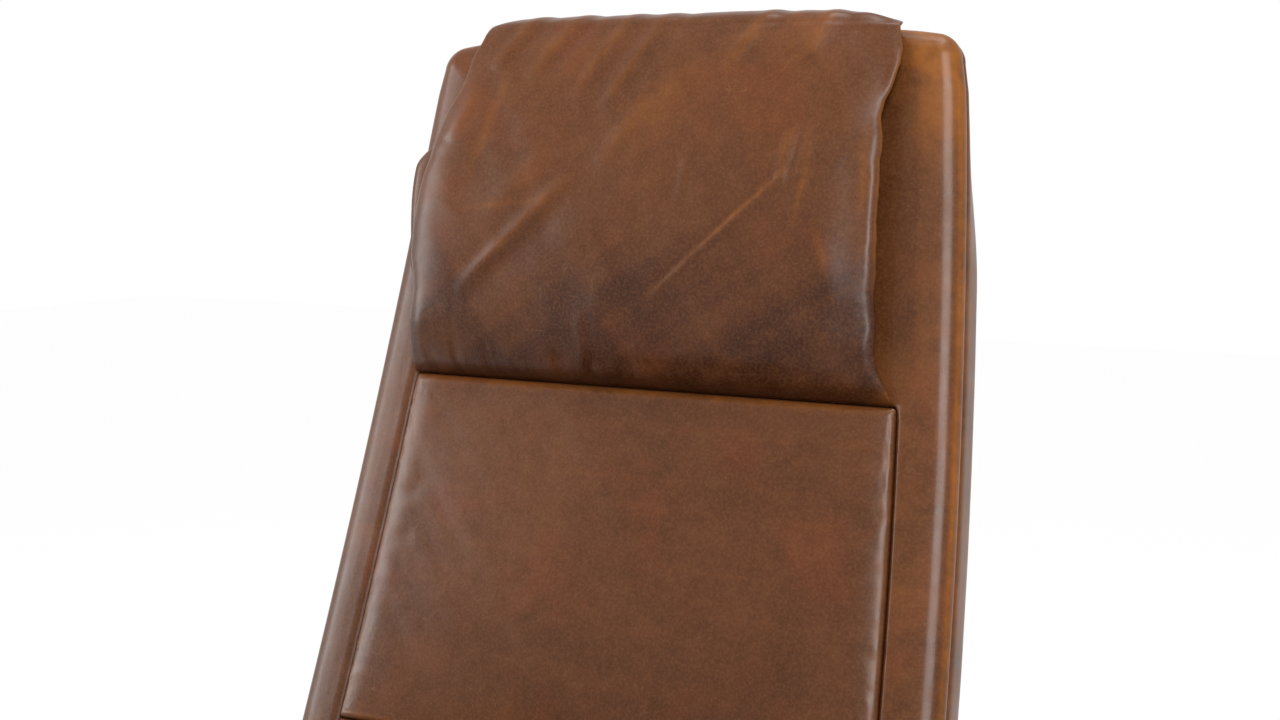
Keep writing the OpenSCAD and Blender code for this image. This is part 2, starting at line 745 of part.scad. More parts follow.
board_x = arm_x + arm_inner_t;
module arm_board_shape(a, b, inset) {
    ring_a = arm_ring(0, inset);
    plate_x(a, b) polygon([for (p = ring_a) [p[1], p[2]]]);
}
module arm_board() {
    difference() {
        arm_board_shape(board_x + seat_gap, board_x + arm_board_t, board_inset + seat_gap);
        arm_bolt_holes(board_x, board_x + arm_board_t + overrun, arm_bolt_r);
        translate([0, lever_y, lever_z])
            rod_x(board_x, board_x + arm_board_t + overrun, lever_shaft_r + run_fit);
    }
}
module arm_inner_pad() {
    edge = arm_edge;
    difference() {
        ring_stack([arm_ring(arm_x, 3 * edge), arm_ring(arm_x + edge / 4, edge),
            arm_ring(arm_x + edge, 0.3 * edge), arm_ring(arm_x + 2 * edge, 0),
            arm_ring(board_x - seat_gap, 0)]);
        arm_bolt_holes(arm_x - overrun, board_x, arm_bolt_r);
        translate([0, lever_y, lever_z]) rod_x(arm_x - overrun, board_x, lever_shaft_r + overrun);
    }
}
module arm_cover() {
    edge = arm_edge;
    difference() {
        ring_stack([arm_ring(board_x, 0), arm_ring(arm_out_x - 2 * edge, 0),
            arm_ring(arm_out_x - edge, 0.3 * edge), arm_ring(arm_out_x - edge / 4, edge),
            arm_ring(arm_out_x, 3 * edge)]);
        arm_board_shape(board_x - overrun, board_x + arm_board_t + seat_gap, board_inset);
        translate([0, lever_y, lever_z])
            rod_x(board_x, arm_out_x + overrun, lever_shaft_r + overrun);
    }
}
module arm_board_left() { color("burlywood") on_seat() arm_board(); }
module arm_board_right() { color("burlywood") on_seat() mirrored(-1) arm_board(); }
module arm_inner_pad_left() { color("sienna") on_seat() arm_inner_pad(); }
module arm_inner_pad_right() { color("sienna") on_seat() mirrored(-1) arm_inner_pad(); }
module arm_cover_left() { color("saddlebrown") on_seat() arm_cover(); }
module arm_cover_right() { color("saddlebrown") on_seat() mirrored(-1) arm_cover(); }
// Each arm bolt has its head inside the rail, a spacer collar to the arm and its end in the board
module arm_bolts() {
    collar_r = arm_bolt_r + collar_wall;
    head = rail_x - rail_w;
    color("gray") both_sides() on_seat() for (share = arm_bolt_shares)
        translate([0, arm_bolt_y(share), arm_bolt_z]) union() {
            rod_x(head - bolt_head_h, head, arm_bolt_r * bolt_head_share);
            rod_x(head, board_x + arm_board_t - seat_gap, arm_bolt_r - run_fit);
            rod_x(rail_x + lug_t, arm_x - seat_gap, collar_r);
        }
}
module friction_washers() {
    color("dimgray") both_sides() on_seat() for (x = [torque_x + seat_gap, washer_out_x])
        difference() {
            rod_x(x, x + washer_t, washer_r);
            rod_x(x - overrun, x + washer_t + overrun, hinge_shaft_r + seat_gap);
        }
}

// Legrest
module legrest_shaft() {
    color("gray") on_seat() translate([0, leg_y, leg_z])
        rod_x(-(ratchet_x + ratchet_t), leg_x + leg_hub_t / 2, leg_shaft_r);
}
// A torsion spring of round wire round the shaft, its ends straight along X.
// Points of its path as [x, angle]
spring_path = concat([[spring_x, 0]],
    [for (k = [0:curl_steps * spring_turns])
        [spring_x - 2 * spring_wire_r - spring_pitch * k / curl_steps, 360 * k / curl_steps]],
    [[spring_x - spring_l, 360 * spring_turns]]);
function unit(v) = v / norm(v);
function spring_point(p) = [p[0], spring_r * cos(p[1]), spring_r * sin(p[1])];
function wire_ring(k) =
    let (e = len(spring_path) - 1, p = spring_path[k],
         along = unit(spring_point(spring_path[min(k + 1, e)]) - spring_point(spring_path[max(k - 1, 0)])),
         out = [0, cos(p[1]), sin(p[1])],
         a = unit(out - (out * along) * along), b = cross(along, a))
    [for (i = [0:wire_sides - 1]) spring_point(p)
        + spring_wire_r * (cos(360 * i / wire_sides) * a + sin(360 * i / wire_sides) * b)];
wire_rings = [for (k = [0:len(spring_path) - 1]) wire_ring(k)];
// Least gap of the spring to itself, measured between its points a turn apart
spring_clear = min([for (k = [0:len(wire_rings) - curl_steps - 2], j = [curl_steps - 1:curl_steps + 1],
    p = wire_rings[k], q = wire_rings[min(k + j, len(wire_rings) - 1)]) norm(p - q)]);
module legrest_springs() {
    color("silver") both_sides() on_seat() translate([0, leg_y, leg_z]) ring_stack(wire_rings);
}
module legrest_arm(x) {
    half = leg_hub_t / 2;
    color("silver") on_legrest() translate([x, 0, 0]) difference() {
        union() {
            rod_x(-half, half, leg_hub_r);
            translate([0, 0, -leg_tube_end]) cylinder(r = leg_tube_r, h = leg_tube_end);
        }
        rod_x(-half - overrun, half + overrun, leg_shaft_r + run_fit);
        translate([0, 0, -leg_tube_end - overrun])
            cylinder(r = leg_rod_r + seat_gap, h = leg_tube_end - leg_hub_r - leg_plug + overrun);
    }
}
module legrest_arm_left() { legrest_arm(leg_x); }
module legrest_arm_right() { legrest_arm(-leg_x); }
module legrest_crossbar() {
    half = leg_x - leg_tube_r - seat_gap;
    color("silver") on_legrest() translate([0, 0, -leg_bar_d]) rod_x(-half, half, leg_bar_r);
}
module ratchet_wheel() {
    tip = ratchet_r + ratchet_tooth;
    color("gray") on_legrest() mirrored(-1) difference() {
        plate_x(ratchet_x, ratchet_x + ratchet_t) polygon([for (k = [0:ratchet_teeth - 1])
            each [for (half = [0, 0.5]) let (a = 360 * (k + half) / ratchet_teeth,
                r = half == 0 ? tip : ratchet_r) [r * cos(a), r * sin(a)]]]);
        rod_x(ratchet_x - overrun, ratchet_x + ratchet_t + overrun, leg_shaft_r);
    }
}
// Footpad body: rods that slide in the arms, the board on them and the pad on the board
module legrest_rods() {
    color("silver") both_sides() on_legrest() union() {
        translate([leg_x, 0, -leg_tube_end - leg_block_t])
            cylinder(r = leg_rod_r, h = leg_tube_end + leg_block_t - leg_rod_start);
        translate([leg_x - leg_tube_r, -leg_board_f + seat_gap, -leg_tube_end - leg_block_t - seat_gap])
            cube([2 * leg_tube_r, leg_board_f + leg_tube_r - seat_gap, leg_block_t]);
    }
}
module legrest_board() {
    color("burlywood") on_legrest() translate([
        -legrest_half_w + leg_board_inset, -leg_board_f - legrest_board_t,
        -leg_near - legrest_l + leg_board_inset])
        cube([2 * (legrest_half_w - leg_board_inset), legrest_board_t,
            legrest_l - 2 * leg_board_inset]);
}
// Levels of the pad as shares of its thickness, corner radius and crown
pad_level_shares = [
    [0, 0.23, 0], [0.3, 0, 0], [0.65, 0, 0], [0.88, 0.18, 0], [1, 0.6, 0.15], [1, 1.55, 0.6],
    [1, 3.36, 1]];
legrest_crown = 10;
legrest_corner_r = 22;
function legrest_ring(l) = [for (p = full_outline(half_outline(
        -leg_near - legrest_l, -leg_near, function(s) legrest_half_w, legrest_corner_r,
        l[1] * legrest_corner_r, soft_bow)))
    [p[0], -(leg_pad_f + l[0] * legrest_pad_t + l[2] * legrest_crown), p[1]]];
module legrest_pad() {
    color("saddlebrown") on_legrest() ring_stack([for (l = pad_level_shares) legrest_ring(l)]);
}

// Release lever on the right arm, with its shaft and pawl
module at_lever() {
    on_seat() translate([0, lever_y, lever_z]) children();
}
lever_x = arm_out_x + bezel_t + seat_gap;
module release_bezel() {
    color("dimgray") mirrored(-1) at_lever() difference() {
        rod_x(arm_out_x + seat_gap / 2, arm_out_x + bezel_t, bezel_r);
        rod_x(arm_out_x - overrun, arm_out_x + bezel_t + overrun, lever_shaft_r + seat_gap);
    }
}
// The shaft has its pawl welded on at the inner end
module release_shaft() {
    to_wheel = [leg_y - lever_y, leg_z - lever_z];
    reach = norm(to_wheel) - ratchet_r - ratchet_tooth - pawl_gap;
    pawl_hub_r = lever_shaft_r + pawl_hub_wall;
    tip = pawl_tip;
    color("gray") mirrored(-1) at_lever() union() {
        rod_x(ratchet_x, lever_x, lever_shaft_r);
        plate_x(ratchet_x, ratchet_x + ratchet_t) rotate(atan2(to_wheel[1], to_wheel[0])) union() {
            circle(r = pawl_hub_r);
            polygon([[0, -pawl_hub_r], [reach, -tip], [reach, tip], [0, pawl_hub_r]]);
        }
    }
}
module release_lever() {
    hub_r = lever_h / 2 + lever_hub_step;
    color("dimgray") mirrored(-1) at_lever() plate_x(lever_x, lever_x + lever_t) union() {
        circle(r = hub_r);
        translate([0, -lever_h / 2]) square([lever_l - lever_h / 2, lever_h]);
        translate([lever_l - lever_h / 2, 0]) circle(r = lever_h / 2);
    }
}

// Back
// A hinge tube on each side, its crank at the inner end
module hinge_tubes() {
    color("darkslategray") both_sides() at_axis(hinge_axis) union() {
        difference() {
            union() {
                rod_x(crank_x, torque_x, torque_r);
                plate_x(crank_x, crank_x + crank_t) union() {
                    translate([-roller_r, -crank_drop]) square([2 * roller_r, crank_drop]);
                    translate([0, -crank_drop]) circle(r = roller_r);
                }
            }
            rod_x(crank_x - overrun, torque_x + overrun, hinge_shaft_r);
        }
        translate([0, 0, -crank_drop]) rod_x(ear_x - move_gap, crank_x + overrun, guide_pin_r);
    }
}
module hinge_shafts() {
    color("gray") both_sides() at_axis(hinge_axis)
        rod_x(torque_x - hinge_shaft_in, wheel_x + wheel_t - cap_t, hinge_shaft_r);
}
module guide_rollers() {
    color("ivory") both_sides() at_axis(guide_a) difference() {
        rod_x(ear_x, ear_x + cradle_t, roller_r);
        rod_x(ear_x - overrun, ear_x + cradle_t + overrun, guide_pin_r + run_fit);
    }
}
module back_stile() {
    back_arc(stile_foot_s, stile_top_s, stile_n) translate([0, stile_x]) circle(r = stile_r);
}
module back_stile_left() { color("darkslategray") back_stile(); }
module back_stile_right() { color("darkslategray") mirrored(-1) back_stile(); }
module back_crossbars() {
    half = stile_x - stile_r - seat_gap;
    color("darkslategray") for (share = crossbar_shares)
        on_back(stile_top_s * share, stile_n) rod_x(-half, half, crossbar_r);
}
module back_webbing() {
    first = lumbar_foot_s + belt_h / 2;
    last = stile_top_s - belt_h / 2;
    color("black") for (k = [0:belt_count - 1])
        on_back(first + (last - first) * k / (belt_count - 1), belt_n)
            translate([-belt_x, -web_t, -belt_h / 2]) cube([2 * belt_x, web_t, belt_h]);
}
// The shell: a tray whose outer skin rings lead to its rear, and whose inner rings lead back
// Levels as shares of the depth, the corner radius and the bulge
shell_skin_shares = [[0, 0, 0], [0.3, -0.02, 0], [0.66, 0.02, 0], [0.82, 0.15, 0], [0.93, 0.37, 0],
    [1, 0.78, 0], [1, 2.4, 0.6], [1, 4.13, 1]];
shell_lining_shares = [[0, 0], [0.3, 0], [0.86, 0.04], [1, 0.26], [1, 2.4]];
shell_bulge = 0.4 * shell_wall;
module back_shell() {
    deep = seam_n - shell_rear_n;
    outer = [for (l = shell_skin_shares)
        shell_ring(l[1] * shell_corner_r, seam_n - l[0] * deep - l[2] * shell_bulge)];
    inner = [for (l = shell_lining_shares)
        shell_ring(shell_wall + l[1] * shell_corner_r, seam_n - l[0] * (deep - shell_wall))];
    color("saddlebrown") difference() {
        tray(outer, inner);
        both_sides() back_arc(stile_foot_s, stile_foot_s + 3 * shell_corner_r, stile_n)
            translate([0, stile_x]) circle(r = stile_r + stile_hole);
    }
}
// A tray: outer rings from the lip to the middle of the back, inner rings from the lip inwards
module tray(outer, inner) {
    m = len(outer[0]);
    co = len(outer);
    ci = len(inner);
    polyhedron(
        points = [for (r = concat(outer, inner)) each r],
        faces = concat(
            [for (i = [0:co - 2]) each turned(ring_join(i * m, (i + 1) * m, m))],
            ladder((co - 1) * m, m),
            [for (i = [0:ci - 2]) each ring_join((co + i) * m, (co + i + 1) * m, m)],
            turned(ladder((co + ci - 1) * m, m)),
            ring_join(0, co * m, m)));
}
// The border: a leather band from the outer seam over the edge to the panels' seam
// Levels as shares of its rise and of its width. It stands proud of the outline by a share too
border_proud_share = 0.045;
border_skin_shares = [
    [0, 0], [0.35, -border_proud_share], [0.6, 0], [0.76, 0.13], [0.9, 0.43], [1, 0.87]];
border_lip = 1;
module back_border() {
    rise = panel_n - seam_n - seat_gap;
    rings = concat(
        [for (l = border_skin_shares) shell_ring(l[1] * border_w, seam_n + seat_gap + l[0] * rise)],
        [for (n = [panel_n - border_lip, seam_n + seat_gap])
            shell_ring(border_w, n, border_w + border_corner_r, border_w + border_corner_r)]);
    color("saddlebrown") ring_loop(rings);
}
// Levels as shares of its thickness, of the width over which its crown rises, and of the crown
panel_crown_w = 100;
panel_level_shares = [
    [0, 0.02, 0], [0.4, 0, 0], [0.75, 0, 0], [0.95, 0.04, 0], [1, 0.1, 0.25], [1, 0.28, 0.6],
    [1, 0.6, 0.88], [1, 1, 1]];
panel_inset_share = 0.36;
module soft_panel(lo, hi, crown) {
    wide = function(s) back_w(s) - border_w - panel_seam_gap;
    color("saddlebrown") ring_stack([for (l = panel_level_shares)
        back_ring(lo, hi, wide, border_corner_r,
            min(l[1] * panel_crown_w, (hi - lo) * panel_inset_share), panel_bow,
            panel_rear_n + l[0] * (panel_n - panel_rear_n) + l[2] * crown)]);
}
module lumbar_panel() {
    soft_panel(lumbar_foot_s, lumbar_seam_s - panel_seam_gap / 2, panel_crown);
}
module back_panel() {
    soft_panel(lumbar_seam_s + panel_seam_gap / 2, head_seam_s - panel_seam_gap / 2, panel_crown);
}
// Sections of the head pillow: each is a lens across X, carried along its bent path, with thin
// side edges that curl away from the back. Stations as shares of the path's part, of the
// thickness and, for how far the side edges stand off, of the thickness again
pillow_front_shares = [
    [0, 0.35, 0], [0.03, 0.62, 0.1], [0.1, 0.9, 0.4], [0.25, 1, 0.56], [0.45, 0.98, 0.58],
    [0.65, 0.88, 0.55], [0.85, 0.7, 0.42], [1, 0.48, 0.24]];
pillow_over_share = 0.08;
pillow_turn_steps = 6;
pillow_rear_shares = [[0.15, 1, 0.3], [0.4, 1, 0.3], [0.7, 0.95, 0.3], [0.92, 0.8, 0.15], [1, 0.4, 0]];
pillow_back_n = panel_n + pillow_clear;
pillow_behind_n = shell_rear_n - shell_bulge - pillow_clear;
module head_pillow() {
    front_l = back_l - head_seam_s;
    turn_r = (pillow_back_n - pillow_behind_n) / 2;
    mid_n = (pillow_back_n + pillow_behind_n) / 2;
    top_inner = back_l + shell_bow + border_proud_share * border_w + pillow_clear;
    // the inner line that the pillow lies on, as [s, n, angle of its outward normal from front],
    // then its thickness and its side edges' height
    front = [for (p = pillow_front_shares)
        [head_seam_s + panel_seam_gap + (front_l - panel_seam_gap) * p[0], pillow_back_n, 0,
            pillow_t * p[1], pillow_t * p[2]]];
    over = [for (k = [1:pillow_turn_steps - 1]) let (a = 180 * k / pillow_turn_steps,
            q = max(0, 2 * k / pillow_turn_steps - 1))
        [top_inner, mid_n + turn_r * cos(a), a,
            pillow_top_t * (1 - q) + pillow_rear_t * q, pillow_t * pillow_over_share]];
    rear = [for (p = pillow_rear_shares)
        [back_l - pillow_rear_l * p[0], pillow_behind_n, 180, pillow_rear_t * p[1],
            pillow_rear_t * p[2]]];
    stations = concat(front, over, rear);
    color("saddlebrown") ring_stack([for (st = stations) pillow_ring(st)]);
}
// One section: points go out along the inner side and come back along the outer side.
// The inner side curls up past this share of the half width
pillow_half_steps = 6;
pillow_curl_share = 0.75;
function pillow_ring(st) =
    let (w = back_w(min(st[0], back_l)) - border_w,
         dn = cos(st[2]), ds = sin(st[2]),
         us = [for (k = [-pillow_half_steps:pillow_half_steps]) sin(90 * k / pillow_half_steps)])
    concat(
        [for (u = us) let (curl = max(0, abs(u) - pillow_curl_share) / (1 - pillow_curl_share),
                h = st[4] * curl * curl)
            back_point(w * u, st[0] + h * ds, st[1] + h * dn)],
        [for (k = [len(us) - 1:-1:0]) let (u = us[k], e = st[4] + pillow_edge_t,
                h = e + (st[3] - e) * sqrt(max(0, 1 - pow(abs(u), 4))))
            back_point(w * u, st[0] + h * ds, st[1] + h * dn)]);

// Tension wheels on the hinge shafts
module tension_wheel() {
    color("dimgray") at_axis(hinge_axis) difference() {
        union() {
            rod_x(wheel_x, wheel_x + wheel_t, wheel_r - wheel_lobe_r);
            for (k = [0:wheel_lobes - 1]) rotate([360 * k / wheel_lobes, 0, 0])
                translate([0, wheel_r - wheel_lobe_r, 0])
                rod_x(wheel_x + overrun, wheel_x + wheel_t - overrun, wheel_lobe_r);
        }
        rod_x(wheel_x - overrun, wheel_x + wheel_t - cap_t + seat_gap, hinge_shaft_r + run_fit);
    }
}
module tension_wheel_left() { tension_wheel(); }
module tension_wheel_right() { mirrored(-1) tension_wheel(); }

floor_pad();
base_plate();
base_column();
flange_bolts();
swivel_bushes();
bearing_ring_lower();
bearing_balls();
ball_cage();
bearing_ring_upper();
swivel_spindle();
swivel_head();
head_bolts();
cradle_plate();
cradle_ear_left();
cradle_ear_right();
tilt_bushes();
tilt_shaft();
tilt_lugs();
seat_rail_left();
seat_rail_right();
seat_crossbar_front();
seat_crossbar_mid();
seat_crossbar_rear();
seat_webbing();
seat_front_apron();
seat_cushion();
arm_board_left();
arm_board_right();
arm_inner_pad_left();
arm_inner_pad_right();
arm_cover_left();
arm_cover_right();
arm_bolts();
friction_washers();
legrest_shaft();
legrest_springs();
legrest_arm_left();
legrest_arm_right();
legrest_crossbar();
ratchet_wheel();
legrest_rods();
legrest_board();
legrest_pad();
release_lever();
release_shaft();
release_bezel();
hinge_tubes();
hinge_shafts();
guide_rollers();
back_stile_left();
back_stile_right();
back_crossbars();
back_webbing();
back_shell();
back_border();
lumbar_panel();
back_panel();
head_pillow();
tension_wheel_left();
tension_wheel_right();

// Where the joints lie, for the record
echo(tilt_axis = tilt_axis, hinge_axis = hinge_axis, leg_axis = leg_axis);
echo(lever_axis = seat_point([lever_y, lever_z]), guide_dev = guide_dev, guide_a = guide_a);
echo(spring_clear = spring_clear);
echo(back_top = curve_at(back_l, 0));
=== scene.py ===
# %% [markdown]
# # A leather swivel recliner
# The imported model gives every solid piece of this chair: base, frame, hinges, springs, rails.
# This script dresses it. Each leather piece is worked out as a surface and takes the place of its
# plain solid, and each metal, wooden or plastic piece keeps its shape and gets a finish.

# %% Load the frame
import json
import math

import bpy
import numpy as np
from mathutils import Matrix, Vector


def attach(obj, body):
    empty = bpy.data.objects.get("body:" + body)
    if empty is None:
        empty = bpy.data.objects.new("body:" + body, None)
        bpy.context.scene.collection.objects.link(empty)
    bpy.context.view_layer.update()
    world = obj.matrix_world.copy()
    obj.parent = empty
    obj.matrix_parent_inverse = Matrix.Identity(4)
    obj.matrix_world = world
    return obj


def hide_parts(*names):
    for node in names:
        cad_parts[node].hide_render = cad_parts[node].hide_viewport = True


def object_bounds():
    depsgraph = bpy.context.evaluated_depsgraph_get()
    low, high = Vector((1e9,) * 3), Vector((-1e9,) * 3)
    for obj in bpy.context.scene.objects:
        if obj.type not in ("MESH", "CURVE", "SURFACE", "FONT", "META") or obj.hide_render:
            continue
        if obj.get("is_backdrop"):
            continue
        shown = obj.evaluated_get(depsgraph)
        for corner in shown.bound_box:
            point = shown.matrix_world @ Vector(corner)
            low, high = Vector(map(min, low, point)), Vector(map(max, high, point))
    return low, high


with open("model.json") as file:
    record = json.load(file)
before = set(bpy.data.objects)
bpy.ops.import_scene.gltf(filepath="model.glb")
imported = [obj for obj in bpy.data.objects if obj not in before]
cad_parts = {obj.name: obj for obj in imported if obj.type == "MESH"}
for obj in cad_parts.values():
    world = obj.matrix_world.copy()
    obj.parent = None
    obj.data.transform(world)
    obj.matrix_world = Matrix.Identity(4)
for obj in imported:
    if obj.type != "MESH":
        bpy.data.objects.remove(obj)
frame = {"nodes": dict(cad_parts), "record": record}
cad_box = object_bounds()
nodes = frame["nodes"]
MM = 0.001

# %% [markdown]
# ## From arrays to meshes
# A surface could be modelled by hand, or cut out of a box. Here each one is a grid of points: a
# function of two parameters, worked out as whole arrays. One helper turns such a grid into a mesh,
# and closes its first and last row with a fan. A small class gathers the rings of a piece one by
# one, with how dark and how worn the leather is at each point. The dark mask also holds painted
# shade, and the worn mask also holds painted highlights and a painted lighter side.


# %% A mesh from a grid of points
def new_object(name, points, faces, smooth=True):
    """A mesh object from points in millimetres, as rows x, y, z, and faces of three or four."""
    mesh = bpy.data.meshes.new(name)
    mesh.from_pydata((np.asarray(points) * MM).tolist(), [], faces)
    mesh.validate()
    obj = bpy.data.objects.new(name, mesh)
    bpy.context.scene.collection.objects.link(obj)
    if smooth:
        mesh.polygons.foreach_set("use_smooth", np.ones(len(mesh.polygons), bool))
    return obj


def grid_faces(rows, cols, loop=False):
    """Quads between neighbouring rows and columns: corner (i, j), (i, j+1), (i+1, j+1), (i+1, j).
    Each row closes on itself, and in a loop the last row also joins the first."""
    i = np.arange(rows if loop else rows - 1)[:, None]
    j = np.arange(cols)[None, :]
    up, on = (i + 1) % rows, (j + 1) % cols
    corners = np.broadcast_arrays(i * cols + j, i * cols + on, up * cols + on, up * cols + j)
    return np.stack(corners, -1).reshape(-1, 4).tolist()


def ringed(name, rings, loop=False):
    """A closed skin through rings of points, shape (rows, cols, 3). A loop joins the last ring to
    the first. Otherwise each end closes with a fan round the mean of its ring."""
    rows, cols, _ = rings.shape
    points = rings.reshape(-1, 3)
    faces = grid_faces(rows, cols, loop)
    if not loop:
        j = np.arange(cols)
        on, end, first = (j + 1) % cols, (rows - 1) * cols, len(points)
        points = np.vstack([points, rings[0].mean(0), rings[-1].mean(0)])
        faces += np.stack([j, np.full(cols, first), on], -1).tolist()
        faces += np.stack([end + on, np.full(cols, first + 1), end + j], -1).tolist()
    return facing_out(new_object(name, points, faces))


def facing_out(obj):
    """Turns every face outwards. The signed volume of a closed skin, the sum over its triangles of
    a . (b x c) / 6, is negative when it is inside out."""
    mesh = obj.data
    mesh.calc_loop_triangles()
    co = vertex_places(obj)
    tri = np.zeros(len(mesh.loop_triangles) * 3, np.int32)
    mesh.loop_triangles.foreach_get("vertices", tri)
    a, b, c = co[tri.reshape(-1, 3)].transpose(1, 0, 2)
    volume = np.einsum("ij,ij->i", a, np.cross(b, c)).sum() / 6
    if volume < 0:
        mesh.flip_normals()
    obj["litres"] = round(abs(volume) * 1000, 3)
    return obj


def rows_of(collection, key):
    """A property of three numbers, read from every element, as rows."""
    flat = np.zeros(len(collection) * 3, np.float32)
    collection.foreach_get(key, flat)
    return flat.reshape(-1, 3)


def vertex_places(obj):
    """The places of a mesh's vertices, in metres, as rows x, y, z."""
    return rows_of(obj.data.vertices, "co").astype(float)


def paint(obj, **masks):
    """Keeps numbers from 0 to 1, one per vertex, under names that a material can read. The middle
    points of the fans stay 0."""
    for name, values in masks.items():
        values = np.clip(values, 0, 1).ravel()
        full = np.zeros(len(obj.data.vertices), np.float32)
        full[: len(values)] = values
        obj.data.attributes.new(name, "FLOAT", "POINT").data.foreach_set("value", full)


class Skin:
    """A piece in the making: its rings of points, and how dark and how worn each point is, with
    painted shade among the dark and painted highlights among the worn.
    """

    def __init__(self):
        self.rings, self.dark, self.worn = [], [], []

    def add(self, points, dark=0.0, worn=0.0):
        """One more ring, with a number or an array for each mask."""
        self.rings.append(points)
        self.dark.append(np.zeros(len(points)) + dark)
        self.worn.append(np.zeros(len(points)) + worn)

    def made(self, name, loop=False):
        """Joins the rings into a piece, paints it and prints how big it came out."""
        obj = ringed(name, np.array(self.rings), loop)
        paint(obj, dark=self.dark, worn=self.worn)
        print(name, len(obj.data.vertices), "points,", obj["litres"], "litres")
        return obj


# %% [markdown]
# ## Small shapes of numbers
# Folds, rolled edges and worn places all come from a few smooth functions of distance. They take
# and return whole arrays.


# %% Smooth steps, bumps and folds
def unit(t):
    """t, but 0 below 0 and 1 above 1."""
    return np.clip(t, 0, 1)


def smooth(t):
    """0 up to 0, 1 from 1 on, and 3t^2 - 2t^3 between, so that it leaves both ends level."""
    t = unit(t)
    return t * t * (3 - 2 * t)


def bump(t):
    """A bell: 1 at 0, falling as exp(-t^2)."""
    return np.exp(-np.square(t))


def through(at, values, where, ease=1.0):
    """A smooth curve through a table: cubic between neighbours. The slope at a row is that of the
    parabola through it and the rows beside it, times ease, so that no kink shows at a row."""
    at, values = np.asarray(at, float), np.asarray(values, float)
    slope = np.gradient(values, at)
    where = np.clip(where, at[0], at[-1])
    i = np.clip(np.searchsorted(at, where, side="right") - 1, 0, len(at) - 2)
    h = at[i + 1] - at[i]
    u = (where - at[i]) / h
    return ((2 * u**3 - 3 * u**2 + 1) * values[i] + (u**3 - 2 * u**2 + u) * h * slope[i] * ease
            + (3 * u**2 - 2 * u**3) * values[i + 1] + (u**3 - u**2) * h * slope[i + 1] * ease)


def levels(table, count):
    """Many fine steps from a few given pairs: points on the smooth curve through them, at even
    steps of the length from pair to pair."""
    table = np.asarray(table, float)
    gaps = np.hypot(*np.diff(table, axis=0).T) + 1e-6
    at = np.concatenate([[0], np.cumsum(gaps)]) / gaps.sum()
    t = np.linspace(0, 1, count)
    return np.stack([through(at, column, t, 0.7) for column in table.T], -1)


def beside(x, s, x0, s0, x1, s1):
    """Where a place is from a line: the share q of the way along it, and its distance d from the
    line, which is negative on one side."""
    length = math.hypot(x1 - x0, s1 - s0)
    along_x, along_s = (x1 - x0) / length, (s1 - s0) / length
    q = ((x - x0) * along_x + (s - s0) * along_s) / length
    return q, (x - x0) * along_s - (s - s0) * along_x


def fold(x, s, x0, s0, x1, s1, width, height):
    """A soft ridge along a line from (x0, s0) to (x1, s1): height * exp(-(d / width)^2) *
    sin(pi q)^0.6, which fades towards both ends."""
    q, d = beside(x, s, x0, s0, x1, s1)
    return height * bump(d / width) * np.sin(np.pi * unit(q)) ** 0.6


def crease(x, s, x0, s0, x1, s1, width, height):
    """A sharp step along a line, as where leather was once folded: height * d / width *
    exp(-(d / width)^2) * sin(pi q)^0.5, which rises on one side of the line and dips on the other."""
    q, d = beside(x, s, x0, s0, x1, s1)
    return height * (d / width) * bump(d / width) * np.sin(np.pi * unit(q)) ** 0.5


def ripple(t, seed, count=7, low=1.0, high=9.0):
    """A wandering line: a sum of sines of t, over the sum of their sizes. The rates rise by an even
    factor from low to high. Phases and sizes come from a fixed seed, and a size also falls as
    1 / sqrt(rate)."""
    dice = np.random.default_rng(seed)
    rates = np.geomspace(low, high, count)
    phases = dice.uniform(0, 2 * np.pi, count)
    sizes = dice.uniform(0.5, 1.0, count) / np.sqrt(rates)
    t = np.asarray(t, float)
    return (sizes * np.sin(2 * np.pi * rates * t[..., None] + phases)).sum(-1) / sizes.sum()


# %% [markdown]
# ## The back's curve
# The back of the real chair is bent in one shallow arc: it leans 21.8 degrees at the foot and 11.3
# at the top. Every leather piece on it is drawn flat, as across x, along s and out n, and one
# function bends that drawing on to the arc. So a seam, a fold or a stitch is placed once.

# %% Places on the back, as in the model, in millimetres
HINGE_Y, HINGE_Z = 184.676, 325.264
FOOT_Y, FOOT_Z = HINGE_Y - 7, HINGE_Z + 92
BACK_L, LEAN_FOOT, LEAN_TOP = 724.0, math.radians(21.8), math.radians(11.3)
BEND = (LEAN_FOOT - LEAN_TOP) / BACK_L
WIDE_FOOT, WIDE_MIDDLE, WIDE_TOP = 301.0, 280.0, 248.0
SHELL_FOOT, SEAM_N, PANEL_N, REAR_N = -45.0, -17.0, 7.0, -67.0
BORDER_W, LUMBAR_S, HEAD_S = 46.0, 102.0, 416.0
FOOT_R, TOP_R, BOW = 46.0, 18.0, 3.0
# How many points an outline has across one half, round a corner and up a side
ACROSS, CORNER, UP = 28, 12, 63
SIDE_STATIONS = np.linspace(20, 681, 92)


def on_back(x, s, n):
    """x across, s along the arc from its foot, n out in front of it. With the lean th = th0 - k s:
    y = y0 + (cos th - cos th0) / k - n cos th and z = z0 + (sin th0 - sin th) / k + n sin th."""
    x, s, n = np.broadcast_arrays(np.asarray(x, float), s, n)
    lean = LEAN_FOOT - BEND * s
    y = FOOT_Y + (np.cos(lean) - math.cos(LEAN_FOOT)) / BEND - n * np.cos(lean)
    z = FOOT_Z + (math.sin(LEAN_FOOT) - np.sin(lean)) / BEND + n * np.sin(lean)
    return np.stack([x, y, z], -1)


def half_width(s):
    """Half the back's width: a parabola through its values at the foot, half way and on top."""
    t = np.asarray(s, float) / BACK_L
    return (WIDE_FOOT * (1 - t) * (1 - 2 * t) + WIDE_MIDDLE * 4 * t * (1 - t)
            + WIDE_TOP * t * (2 * t - 1))


def mirrored(x, s):
    """A right half, from the foot up, closed by its mirror image from the top down."""
    return np.concatenate([x, -x[::-1]]), np.concatenate([s, s[::-1]])


